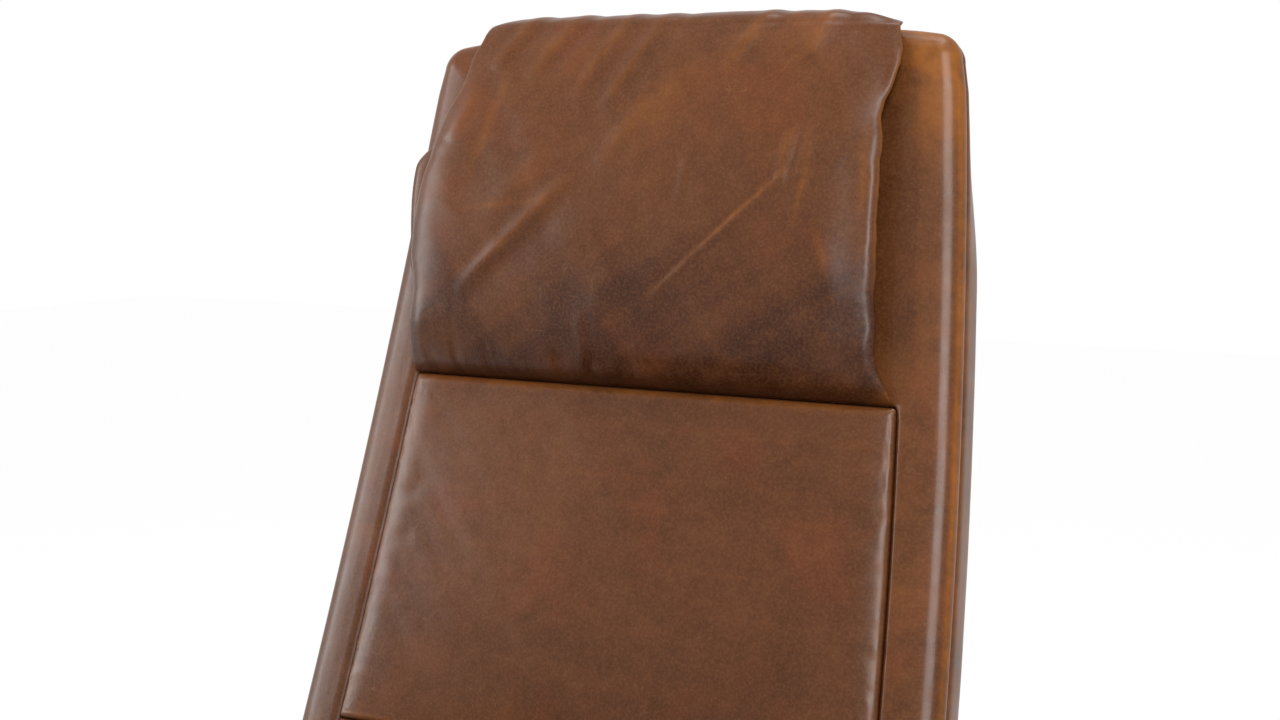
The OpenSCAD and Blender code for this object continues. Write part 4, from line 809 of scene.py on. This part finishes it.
def box_bag(half_x, y0, y1, z0, z1, place, radius, crown, count=10, corner=40):
    """A closed bag: a rounded outline stacked from z0 to z1, drawn in towards the top and bottom by
    0.8 of a quarter circle of this radius, the top raised by crown (1 - x^2) (1 - y^2)."""
    wide = lambda s: np.full(np.shape(s), half_x)
    middle, half = (y0 + y1) / 2, (y1 - y0) / 2
    rings = []
    for a in np.linspace(0, np.pi, 2 * count + 1):
        x, y = outline(y0, y1, wide, corner, radius * (1 - math.sin(a)) * 0.8, 3)
        rings.append((x, y, (z0 + z1) / 2 - (z1 - z0) / 2 * math.cos(a)))
    x, y, _ = rings[0]
    rows = [place(x * k, middle + (y - middle) * k, z0) for k in (0.1, 0.4, 0.7, 0.9)]
    rows += [place(*ring) for ring in rings]
    x, y, _ = rings[-1]
    for k in (0.96, 0.85, 0.7, 0.5, 0.3, 0.1):
        px, py = x * k, middle + (y - middle) * k
        u, w = px / half_x, (py - middle) / half
        rows.append(place(px, py, z1 + crown * (1 - u * u) * (1 - w * w)))
    return np.array(rows)


# %% Seat cushion
# The cushion's solid in the seat's axes, and the height of its sewn channel
SEAT_X, SEAT_FRONT, SEAT_REAR, SEAT_BASE, CHANNEL_Z = 258.0, -549.0, -46.0, -17.4, 58.0

seat = ringed("seat_cushion_pad", box_bag(250, -540, -52, SEAT_BASE, 82, on_seat, 20, 12))
stuffed(seat, cap=0.009, voxel=0.006)
relaxed(seat, 8, 90, (0, 0, 1))


def seat_details(co):
    """Keeps the cushion's base flat, holds it inside its solid, sews a channel round its side and
    leaves its top a little uneven."""
    x, y, z = off_seat(co)
    z = np.where(z < -16.5, SEAT_BASE, z)
    x, y = np.clip(x, -SEAT_X, SEAT_X), np.clip(y, SEAT_FRONT, SEAT_REAR)
    from_side, from_front = SEAT_X - np.abs(x), y - SEAT_FRONT
    near = np.minimum(from_side, np.minimum(from_front, SEAT_REAR - y))
    seam = bump((z - CHANNEL_Z) / 2.6) * smooth((26 - near) / 10)
    x = x - np.sign(x) * 2.2 * seam * (from_side < 26)
    y = y + 2.2 * seam * (from_front < 26)
    wave = 1.5 * ripple(x / 430, 71) * ripple(y / 360, 72)
    wave = wave + 0.8 * ripple(x / 520 + 0.5 * ripple(y / 420, 74), 75)
    return on_seat(x, y, z + wave * smooth((z - 66) / 14))


reshape(seat, seat_details)
x, y, z = off_seat(vertex_places(seat) * 1000)
near_edge = smooth((24 - np.minimum(SEAT_X - np.abs(x), y - SEAT_FRONT)) / 12)
paint(seat, worn=0.4 * bump((z - 72) / 9) * near_edge,
      dark=0.5 * bump((z - CHANNEL_Z) / 2.2) + 0.3 * ripple(x / 300 + y / 250, 73))
print("seat cushion:", len(seat.data.polygons), "faces")

# %% Legrest pad
# The pad's solid: half its width, its lower and upper end, its back and its thickness
PAD_W, PAD_LOW, PAD_HIGH, PAD_F, PAD_T = 246.0, -248.0, 10.0, 28.3, 32.0


def place_pad(x, y, out):
    """From across, up the pad and out from the arms to the chair."""
    return on_legrest(x, -out, y)


def pad_axes(co):
    """The inverse of place_pad."""
    x, y, z = off_legrest(co)
    return x, z, -y


def pad_details(co):
    """Flat at the back on its board, inside its solid, and a little uneven in front."""
    x, y, out = pad_axes(co)
    out = np.maximum(out, PAD_F)
    x, y = np.clip(x, -PAD_W, PAD_W), np.clip(y, PAD_LOW, PAD_HIGH)
    wave = 0.9 * ripple(x / 380, 81) * ripple(y / 210, 82)
    return place_pad(x, y, out + wave * smooth((out - PAD_F - 20) / 10))


pad = ringed("legrest_cushion_pad", box_bag(245, PAD_LOW + 1.5, PAD_HIGH - 1.5, PAD_F + 0.2,
                                            PAD_F + PAD_T - 3, place_pad, 6, 5, 7, 12))
stuffed(pad, cap=0.006, voxel=0.005)
relaxed(pad, 5, 90, (0, -1, 0))
reshape(pad, pad_details)
x, y, out = pad_axes(vertex_places(pad) * 1000)
near_edge = smooth((16 - (PAD_W - np.abs(x))) / 8)
paint(pad, worn=0.4 * bump((out - PAD_F - 26) / 5) * near_edge, dark=0.3 * ripple(x / 200, 83))
print("legrest pad:", len(pad.data.polygons), "faces")

# %% How many soft pieces are padded
print("padded pieces: 5")

# %% [markdown]
# ## Arms
# Each arm is a board between two leather-covered pads. The outline is one closed line, carried
# across in rings whose edges are rounded, and a narrow groove shows where the two pads meet over
# the board.

# %% Arm covers
RAIL_TOP, RAIL_LOW = -22.0, -62.0
ARM_X, ARM_T, BOARD_T = 262.0, 66.0, 18.0
ARM_FRONT, ARM_REAR, ARM_R = -556.0, -56.0, 34.0
ARM_SEAM = ARM_X + (ARM_T - BOARD_T) / 2
FACE_Y, FACE_Z = -300.0, 30.0


def arm_line(inset, steps=40, corner=10):
    """The arm's outline in the seat's y and z: the top edge is the rail's top + 240 - 20 (1 - t)^3
    - 66 t^4 and the underside the rail's foot - 120 + 34 t, with round corners of 34 mm less half
    the inset."""
    r = ARM_R - inset / 2
    f, e = ARM_FRONT + inset, ARM_REAR - inset
    top = lambda t: RAIL_TOP + 240 - 20 * (1 - t) ** 3 - 66 * t**4 - inset
    low = lambda t: RAIL_LOW - 120 + 34 * t + inset
    a = np.linspace(0, np.pi / 2, corner + 1)
    t = np.arange(1, steps) / steps
    span = f + r + (e - f - 2 * r) * t
    y = np.concatenate([f + r - r * np.cos(a), span, e - r + r * np.sin(a), e - r + r * np.cos(a),
                        span[::-1], f + r - r * np.sin(a)])
    z = np.concatenate([top(0) - r + r * np.sin(a), top(t), top(1.0) - r + r * np.cos(a),
                        low(1.0) + r - r * np.sin(a), low(t[::-1]), low(0) + r - r * np.cos(a)])
    return y, z


def arm_profile(way, gap, face, r):
    """Steps as (x, inset): in at the seam over the board, out over the pad's lip, then a quarter
    circle of radius r on to the face. way is 1 for the outer pad and -1 for the inner one."""
    seam = [(ARM_SEAM + gap, 12), (ARM_SEAM + gap, 1.4), (ARM_SEAM + 1.2 * way, 0.2)]
    turns = np.linspace(0, np.pi / 2, 9)
    return seam + [(face - way * r * (1 - math.sin(a)), r * (1 - math.cos(a))) for a in turns]


def arm_side(name, side, profile, puff):
    """Rings of the arm's outline at each (x, inset), then shrinking to the middle of the face,
    which swells by puff (1 - k^2). side is 1 on the left of the chair and -1 on the right."""
    skin = Skin()
    for x, inset in profile:
        y, z = arm_line(inset)
        skin.add(on_seat(side * x, y, z), worn=0.45 * bump((inset - 3) / 4))
    way = np.sign(profile[-1][0] - profile[0][0])
    for k in np.linspace(0.97, 0.05, 14):
        out = x + way * puff * (1 - k * k) + 0.5 * ripple(y / 200 * k, 91) * (1 - k)
        skin.add(on_seat(side * out, FACE_Y + (y - FACE_Y) * k, FACE_Z + (z - FACE_Z) * k))
    return skin.made(name)


inner = arm_profile(-1, -0.3, ARM_X + 0.2, 13)
cover = arm_profile(1, 0.2, ARM_X + ARM_T - 1.3, 14)
arms = []
for side, word in ((1, "left"), (-1, "right")):
    arms.append((word, arm_side("arm_inner_leather_" + word, side, inner, 1.8),
                 arm_side("arm_outer_leather_" + word, side, cover, 1.2)))

# %% [markdown]
# ## The apron under the seat's front edge
# A strip of the same leather over the front rail, folded back at its edges.


# %% Apron
def slab(half_x, y0, y1, z0, z1, place, r):
    """A soft-edged slab: a rounded rectangle |x|^8 + |z|^8 = 1, swept through y with a rim that is
    half a circle of radius r."""
    a = np.linspace(0, 2 * np.pi, 160, endpoint=False)
    power = 8
    scale = (np.abs(np.cos(a)) ** power + np.abs(np.sin(a)) ** power) ** (-1 / power)
    rows = []
    for t in np.linspace(0, np.pi, 9):
        inset = r * (1 - math.sin(t))
        x = (half_x - inset) * np.cos(a) * scale
        z = (z0 + z1) / 2 + ((z1 - z0) / 2 - inset) * np.sin(a) * scale
        rows.append(place(x, (y0 + y1) / 2 - (y1 - y0) / 2 * math.cos(t), z))
    return np.array(rows)


apron = ringed("seat_apron_leather", slab(182, -494, -486, RAIL_LOW, RAIL_TOP, on_seat, 4))

# %% [markdown]
# ## Stitches
# The thread on the real chair is the leather's own brown, sewn between three and four stitches to
# the centimetre. Each stitch is a small closed rod, and all those of a seam are one mesh, made by
# copying a unit rod along the seam as one array.


# %% Stitches along a line
# A rod's four rings: the place along it, the size and how deep it is sunk, as shares
ROD_AT = np.array([-0.5, -0.32, 0.32, 0.5])
ROD_SIZE = np.array([0.25, 1.0, 1.0, 0.25])
ROD_SUNK = np.array([-0.6, 0.0, 0.0, -0.6])
ROD_CAPS = np.array([[0, 5, 4, 3], [0, 3, 2, 1], [18, 19, 20, 21], [18, 21, 22, 23]])


def stitches(name, line, normal, pitch, length, radius):
    """Rods along a line of points: every pitch millimetres one rod of this length lies on the line,
    its ends sunk, with a hexagon for its section."""
    gaps = np.linalg.norm(np.diff(line, axis=0), axis=1)
    at = np.concatenate([[0], np.cumsum(gaps)])
    mids = np.arange(pitch, at[-1] - pitch, pitch)
    pick = lambda d, table: np.stack([np.interp(d, at, table[:, i]) for i in range(3)], -1)
    d = mids[:, None] + ROD_AT * length
    centre, up = pick(d, line), pick(d, normal)
    up /= np.linalg.norm(up, axis=-1, keepdims=True)
    along = pick(mids + 0.3, line) - pick(mids - 0.3, line)
    along = (along / np.linalg.norm(along, axis=-1, keepdims=True))[:, None, :]
    side, up = np.cross(along, up)[:, :, None], up[:, :, None]
    a = (np.arange(6) / 6 * 2 * np.pi)[:, None]
    turn = np.cos(a) * side + np.sin(a) * up
    rings = (centre[:, :, None] + up * (ROD_SUNK * radius)[:, None, None]
             + ROD_SIZE[:, None, None] * radius * turn)
    rod = np.vstack([np.array(grid_faces(4, 6)), ROD_CAPS])
    every = (rod[None] + 24 * np.arange(len(mids))[:, None, None]).reshape(-1, 4)
    return facing_out(new_object(name, rings.reshape(-1, 3), every.tolist()))


x, s = back_outline(1.4)
keep = s > -38
line = on_back(x[keep], s[keep], SEAM_N + 0.4)
outward = on_back(x[keep] * 1.02, s[keep], SEAM_N + 0.4) - line
threads = [stitches("back_outer_stitches", line, outward, 2.7, 1.9, 0.6)]
for side, word in ((1, "left"), (-1, "right")):
    s = np.linspace(8, HEAD_S - 2, 200)
    x = side * (half_width(s) - BORDER_W - 0.1)
    line = on_back(x, s, 2.9)
    threads.append(stitches("panel_stitches_" + word, line, on_back(x, s, 4.6) - line, 2.9, 2.0, 0.55))
print("stitch meshes", len(threads))

# %% [markdown]
# ## Shader maths as Python
# A material is a small program. Wrapping a node's output in a class with Python's operators lets
# that program be read as formulas. Any node that isn't plain arithmetic comes from one method.


# %% Sockets with operators
def linear(code):
    """A screen colour such as 6b4430 as the linear light that a shader wants."""
    parts = [int(code[i:i + 2], 16) / 255 for i in (0, 2, 4)]
    return tuple(((c + 0.055) / 1.055) ** 2.4 if c > 0.04045 else c / 12.92 for c in parts) + (1.0,)


def both_ways(operation):
    """The two methods of an operator, for value + other and for other + value."""
    return (lambda self, other: self.maths(operation, self, other),
            lambda self, other: self.maths(operation, other, self))


class Flow:
    """A value that varies over a surface: one output of a node in a material's tree."""

    __add__, __radd__ = both_ways("ADD")
    __sub__, __rsub__ = both_ways("SUBTRACT")
    __mul__, __rmul__ = both_ways("MULTIPLY")

    def __init__(self, tree, socket):
        self.tree, self.socket = tree, socket

    def node(self, kind, settings=None, inputs=None, output=0):
        """Any node: its settings are set first, then the values or links of its inputs."""
        made = self.tree.nodes.new(kind)
        for key, value in (settings or {}).items():
            setattr(made, key, value)
        for key, value in (inputs or {}).items():
            if isinstance(value, Flow):
                self.tree.links.new(value.socket, made.inputs[key])
            elif value is not None:
                made.inputs[key].default_value = value
        return Flow(self.tree, made.outputs[output])

    def maths(self, operation, a, b=0.0, clamp=False):
        """One Math node."""
        return self.node("ShaderNodeMath", {"operation": operation, "use_clamp": clamp}, {0: a, 1: b})

    def held(self):
        """Kept between 0 and 1."""
        return self.maths("ADD", self, 0.0, clamp=True)

    def rises(self, low, high):
        """0 below low, 1 above high, smooth between."""
        return self.node("ShaderNodeMapRange", {"interpolation_type": "SMOOTHSTEP"},
                         {"Value": self, "From Min": low, "From Max": high})

    def blend(self, a, b):
        """Colour a where this is 0, colour b where it is 1. Each is a code or another blend."""
        a, b = (linear(c) if isinstance(c, str) else c for c in (a, b))
        return self.node("ShaderNodeMix", {"data_type": "RGBA"}, {0: self, 6: a, 7: b}, output=2)


class Finish(Flow):
    """A material: its Principled shader and the object's own coordinates, ready to be fed."""

    def __init__(self, name, **constants):
        self.material = bpy.data.materials.new(name)
        self.material.use_nodes = True
        tree = self.material.node_tree
        self.shader = tree.nodes["Principled BSDF"]
        where = tree.nodes.new("ShaderNodeTexCoord")
        super().__init__(tree, where.outputs["Object"])
        for key, value in constants.items():
            self.shader.inputs[key.replace("_", " ")].default_value = value

    def feed(self, **values):
        """Links each value to the shader's socket of that name."""
        for key, value in values.items():
            self.tree.links.new(value.socket, self.shader.inputs[key.replace("_", " ")])
        return self.material

    def stretched(self, scale, turn=(0, 0, 0)):
        """Coordinates turned and then scaled, for a pattern that runs one way."""
        return self.node("ShaderNodeMapping", {}, {"Vector": self, "Scale": scale, "Rotation": turn})

    def noise(self, scale, detail=3.0, roughness=0.55, distortion=0.0, at=None):
        """Clouds of noise between 0 and 1."""
        return self.node("ShaderNodeTexNoise", {}, {"Vector": at or self, "Scale": scale,
                                                    "Detail": detail, "Roughness": roughness,
                                                    "Distortion": distortion})

    def painted(self, name):
        """A number that was painted on the piece."""
        return self.node("ShaderNodeAttribute", {"attribute_name": name}, {}, output=2)

    def bumps(self, *layers):
        """Layers of height, each as (height, depth in metres), stacked into one normal."""
        normal = None
        for height, depth in layers:
            normal = self.node("ShaderNodeBump", {}, {"Height": height, "Distance": depth,
                                                      "Strength": 1.0, "Normal": normal})
        return normal


# %% [markdown]
# ## Waxed pull-up leather
# This hide is dyed red-brown and waxed. Where it is stretched the wax moves and it turns amber;
# where it is pressed it stays dark. So the colour mixes several browns by clouds of noise at
# several scales and by the worn and dark places painted on each piece. The worn places also hold
# painted highlights along some of the pillow's creases and a painted lighter right half of the
# border, and the dark places hold painted shade on the pillow's lower face, on its inner sheet and
# on the border under its right edge. Fine scratches are thin lines where a noise crosses its
# middle. The grain is a layer of small cells with finer noise on top.


# %% Leather
def leather(name):
    """Colour: brown, mixed towards dark and amber by noise and by the painted masks. Height: pores
    of cells with finer noise, and slow unevenness."""
    m = Finish(name, IOR=1.45, Specular_IOR_Level=0.25, Coat_Roughness=0.24, Coat_IOR=1.3)
    cloud = m.noise(4.5, 4.0, 0.6, 0.4)
    patch = m.noise(17.0, 5.0, 0.6, 0.6)
    mottle = m.noise(70.0, 4.0, 0.6, 0.3)
    speck = m.noise(430.0, 2.0, 0.6)
    worn, dark = m.painted("worn"), m.painted("dark")

    light = ((cloud - 0.5) * 0.9 + (patch - 0.5) * 0.5 + (mottle - 0.5) * 0.35 + 0.5).held()
    brown = light.rises(0.1, 0.95).blend("3f210d", "5f361b")
    redder = m.noise(13.0, 4.0, 0.55, 0.5).rises(0.48, 0.72) * 0.26
    brown = redder.blend(brown, "6e3319")
    # The worn mask turns the hide amber, and with it the painted highlights on the pillow's creases and
    # the painted lighter right half of the border
    amber = (worn * (0.6 + (patch - 0.5) * 1.4 + (mottle - 0.5) * 1.2)).held()
    brown = amber.blend(brown, "96591f")
    # The dark mask darkens the hide, and with it the painted shade on and under the head pillow
    deep = (dark * 0.95 + (patch - 0.62) * 0.3).held()
    brown = (deep * 0.92).blend(brown, "2c1003")

    near_middle = lambda n, width: 1 - m.maths("ABSOLUTE", n - 0.5).rises(0.0, width)
    one_way = m.noise(7.0, 2.0, 0.5, 0.6, at=m.stretched((9, 2, 2.4), (0.3, 0.5, 0.7)))
    other_way = m.noise(9.0, 2.0, 0.5, 0.4, at=m.stretched((2, 3, 10), (0.6, -0.4, 0.2)))
    few = m.noise(8.0, 2.0).rises(0.54, 0.66)
    scratches = ((near_middle(one_way, 0.004) + near_middle(other_way, 0.003)) * few).held()
    brown = (scratches * 0.14).blend(brown, "a5805c")
    brown = ((speck - 0.5) * 0.6 + 0.06).held().blend(brown, "8a5a36")

    pores = m.node("ShaderNodeTexVoronoi", {}, {"Vector": m, "Scale": 820.0})
    normal = m.bumps((m.noise(17.0, 2.0, 0.5), 0.0006), (m.noise(70.0, 2.0, 0.5), 0.00016),
                     (pores, 0.00002), (m.noise(1900.0, 2.0), 0.000012))
    rough = 0.34 + (mottle - 0.5) * 0.2 + (cloud - 0.5) * 0.14 + dark * 0.05 + (speck - 0.5) * 0.1
    coat = (0.1 + (patch - 0.5) * 0.2).held()
    return m.feed(Base_Color=brown, Roughness=rough, Normal=normal, Coat_Weight=coat)


hide = leather("waxed_leather")
print("leather nodes:", len(hide.node_tree.nodes))

# %% [markdown]
# ## Metal, wood, plastic and webbing
# Steel is brushed or painted, the bright parts are polished with faint wear, wood has rings
# stretched along the board, and webbing is a woven band. Each gets its own scale of detail.


# %% The other finishes
def brushed_steel(name, stretch):
    """Lines along the axis that has the smallest scale."""
    m = Finish(name, Metallic=1.0, IOR=2.5)
    fine = m.noise(60.0, 4.0, 0.6, at=m.stretched(stretch))
    smear = m.noise(9.0, 3.0)
    colour = (fine * 0.5 + smear * 0.5).held().blend("8f9092", "c3c4c6")
    return m.feed(Base_Color=colour, Roughness=0.26 + fine * 0.16 + smear * 0.08,
                  Normal=m.bumps((fine, 0.00004)))


def turned_steel(name):
    """The base plate is spun on a lathe, so its lines are rings round the swivel's axis."""
    m = Finish(name, Metallic=1.0, IOR=2.5)
    flat = m.node("ShaderNodeVectorMath", {"operation": "MULTIPLY"}, {0: m, 1: (1, 1, 0)})
    radius = m.node("ShaderNodeVectorMath", {"operation": "LENGTH"}, {0: flat}, output=1)
    lines = m.node("ShaderNodeTexNoise", {"noise_dimensions": "1D"},
                   {"W": radius, "Scale": 900.0, "Detail": 4.0})
    smear = m.noise(7.0, 3.0)
    colour = (lines * 0.6 + smear * 0.4).held().blend("909193", "c6c7c9")
    return m.feed(Base_Color=colour, Roughness=0.24 + lines * 0.14 + smear * 0.1,
                  Normal=m.bumps((lines, 0.00003)))


def bright_steel(name):
    """Polished, with faint smears."""
    m = Finish(name, Metallic=1.0, IOR=2.5)
    smear = m.noise(30.0, 4.0)
    return m.feed(Base_Color=smear.blend("b9babd", "d4d5d8"),
                  Roughness=0.14 + smear * 0.14, Normal=m.bumps((m.noise(220.0, 2.0), 0.00001)))


def painted_steel(name):
    """Black paint with a fine orange peel, scuffed to the metal in a few small places."""
    m = Finish(name, IOR=1.5, Coat_Roughness=0.25)
    peel = m.noise(420.0, 2.0)
    cloud = m.noise(8.0, 3.0)
    scuff = m.noise(60.0, 5.0, 0.7).rises(0.66, 0.74)
    colour = (scuff * 0.5).blend(cloud.blend("232426", "2f3033"), "5a5b5d")
    return m.feed(Base_Color=colour, Metallic=scuff * 0.5, Normal=m.bumps((peel, 0.00006)),
                  Roughness=0.42 + cloud * 0.14 + scuff * 0.1)


def moulded(name, dark, light, grain, rough):
    """Plastic or rubber between two colours, with a fine grain."""
    m = Finish(name, IOR=1.46)
    cloud, fine = m.noise(12.0, 3.0), m.noise(grain, 2.0)
    return m.feed(Base_Color=(cloud * 0.6 + fine * 0.4).held().blend(dark, light),
                  Roughness=rough + (fine - 0.5) * 0.2, Normal=m.bumps((fine, 0.00008)))


def wood(name):
    """Growth rings and fibres, both stretched along the board."""
    m = Finish(name, IOR=1.48)
    rings = m.noise(9.0, 6.0, 0.65, 1.4, at=m.stretched((1, 0.8, 7)))
    fibre = m.noise(120.0, 3.0, 0.6, at=m.stretched((1, 0.25, 6)))
    mixed = (rings * 0.7 + fibre * 0.3).held().rises(0.3, 0.75)
    return m.feed(Base_Color=mixed.blend("b58a58", "dcb98a"),
                  Roughness=0.55 + fibre * 0.2, Normal=m.bumps((fibre, 0.0001), (rings, 0.00008)))


def webbing(name):
    """Threads over and under: the product of two waves, one across and one along the band."""
    m = Finish(name, IOR=1.45, Sheen_Weight=0.2, Sheen_Roughness=0.5)
    wave = lambda way, scale: m.node("ShaderNodeTexWave", {"bands_direction": way},
                                     {"Vector": m, "Scale": scale, "Distortion": 0.3})
    weave = wave("X", 190.0) * wave("Y", 150.0)
    return m.feed(Base_Color=weave.blend("1d1c1b", "45423e"),
                  Roughness=0.8 + (m.noise(90.0) - 0.5) * 0.2, Normal=m.bumps((weave, 0.0004)))


def thread(name):
    """Waxed thread, with its twist as a fine noise."""
    m = Finish(name, IOR=1.45)
    twist = m.noise(1500.0, 2.0)
    return m.feed(Base_Color=twist.blend("38190b", "5a2f18"),
                  Roughness=0.6 + twist * 0.2, Normal=m.bumps((twist, 0.0001)))


finishes = {
    "brushed_steel": brushed_steel("brushed_column", (14, 14, 1)),
    "turned_steel": turned_steel("turned_base"),
    "bright_steel": bright_steel("bright_steel"),
    "frame_steel": painted_steel("painted_frame"),
    "pad_rubber": moulded("pad_rubber", "1b1b1b", "2a2a2a", 240.0, 0.75),
    "friction_disc": moulded("friction_disc", "4a4038", "6b6054", 900.0, 0.7),
    "bush_plastic": moulded("bush_plastic", "c9c2b0", "ded8c8", 500.0, 0.4),
    "handle_plastic": moulded("handle_plastic", "1d1d1e", "2c2c2d", 700.0, 0.45),
    "webbing": webbing("woven_webbing"),
    "board": wood("birch_board"),
}
thread_look = thread("waxed_thread")
print("finishes:", len(finishes) + 2)

# %% [markdown]
# ## Giving every piece its finish and its body
# The record says which slot each solid takes its finish from. A dressed piece names the solids it
# stands for and the body that it moves with. The stitches stand for none.

# %% Finishes of the solids
def coated(obj, look):
    """Gives a piece its one material."""
    obj.data.materials.clear()
    obj.data.materials.append(look)


slots = {row["node"]: row["material_slot"] for row in frame["record"]["subparts"]}
for name, obj in nodes.items():
    look = finishes.get(slots.get(name), hide)
    coated(obj, finishes["turned_steel"] if name == "base_plate" else look)
print("slots of solids:", sorted(set(slots.values())))

# %% Bodies of the dressed pieces
dressed = [(shell, "back", "back_shell"), (border, "back", "back_border"),
           (back_panel, "back", "back_panel"), (lumbar_panel, "back", "lumbar_panel"),
           (pillow, "back", "head_pillow"), (seat, "seat", "seat_cushion"),
           (pad, "footpad", "legrest_pad"), (apron, "seat", "seat_front_apron")]
for word, inner_pad, outer_pad in arms:
    dressed += [(inner_pad, "seat", "arm_inner_pad_" + word), (outer_pad, "seat", "arm_cover_" + word)]
dressed += [(obj, "back", None) for obj in threads]
for obj, body, stands_for in dressed:
    coated(obj, hide if stands_for else thread_look)
    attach(obj, body)
    if stands_for:
        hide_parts(stands_for)
print("dressed pieces:", len(dressed))

# %% [markdown]
# ## Camera, floor and light
# The camera is as high as the head pillow and looks a little down at it, from the sitter's left.
# The room is white to the camera and to reflections. A lamp overhead, a tall strip in front and a
# window on the picture's left, with a soft fill from the room, keep colours about as written.

# %% Camera
SWING, DIP = math.radians(28.8), math.radians(6.9)
camera = bpy.data.objects.new("camera", bpy.data.cameras.new("camera"))
bpy.context.scene.collection.objects.link(camera)
bpy.context.scene.camera = camera
ahead = Vector((-math.sin(SWING) * math.cos(DIP), math.cos(SWING) * math.cos(DIP), -math.sin(DIP)))
camera.location = (0.721, -1.0053, 1.0183)
camera.rotation_euler = ahead.to_track_quat("-Z", "Y").to_euler()
camera.data.sensor_width, camera.data.lens = 36.0, 50.2
camera.data.clip_start, camera.data.clip_end = 0.05, 60
print("lens", round(camera.data.lens, 1), "mm")

# %% Floor, room and lamps
def light_paths(tree):
    """1 for rays that come from the camera or from a mirror-like or clear surface."""
    path = tree.nodes.new("ShaderNodeLightPath")
    total = Flow(tree, path.outputs["Is Camera Ray"]) + Flow(tree, path.outputs["Is Glossy Ray"])
    return (total + Flow(tree, path.outputs["Is Transmission Ray"])).held()


FILL = 0.23
world = bpy.data.worlds.new("room")
bpy.context.scene.world = world
world.use_nodes = True
tree = world.node_tree
tree.nodes.clear()
seen = light_paths(tree)
sky = seen.node("ShaderNodeBackground", {}, {"Color": (1, 1, 1, 1),
                                             "Strength": FILL + seen * (1 - FILL)})
tree.links.new(sky.socket, tree.nodes.new("ShaderNodeOutputWorld").inputs["Surface"])

HALF_FLOOR = 8000.0
floor = new_object("floor", np.array([[-1, -1, 0], [1, -1, 0], [1, 1, 0], [-1, 1, 0]]) * HALF_FLOOR,
                   [[0, 1, 2, 3]], smooth=False)
ground = Finish("pale_floor", Roughness=0.9, Specular_IOR_Level=0.1, Base_Color=(0.86, 0.86, 0.86, 1))
white = ground.node("ShaderNodeEmission", {}, {"Color": (1, 1, 1, 1), "Strength": 1.07})
matt = Flow(ground.tree, ground.shader.outputs[0])
shown = ground.node("ShaderNodeMixShader", {}, {0: light_paths(ground.tree) * 0.9, 1: matt, 2: white})
ground.tree.links.new(shown.socket, ground.tree.nodes["Material Output"].inputs["Surface"])
floor.data.materials.append(ground.material)
floor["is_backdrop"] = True


def lamp(name, place, aim, width, height, power):
    """A rectangular soft light at a place in metres, turned towards a point."""
    data = bpy.data.lights.new(name, "AREA")
    data.shape, data.size, data.size_y, data.energy = "RECTANGLE", width, height, power
    obj = bpy.data.objects.new(name, data)
    obj.location = place
    obj.rotation_euler = (Vector(aim) - Vector(place)).to_track_quat("-Z", "Y").to_euler()
    bpy.context.scene.collection.objects.link(obj)
    print("lamp", name, power, "W")


lamp("overhead", (0.2, 0.1, 3.2), (0, 0.25, 0.8), 1.0, 1.0, 28)
lamp("key_strip", (1.2, -1.7, 1.95), (0.15, 0.3, 0.8), 0.42, 1.6, 52)
lamp("left_window", (-2.15, -0.62, 1.3), (-0.1, 0.3, 0.8), 0.8, 1.3, 32)
bpy.context.scene.view_settings.view_transform = "Standard"

# %% [markdown]
# ## Sizes, then the end
# The dressed chair must not outgrow its model, so both boxes are written next to each other.

# %% Sizes and finish
dressed_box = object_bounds()
plain = lambda box: [[round(float(c), 5) for c in corner] for corner in box]
{"cad": plain(cad_box), "dressed": plain(dressed_box)}
print("cad", plain(cad_box), "dressed", plain(dressed_box))
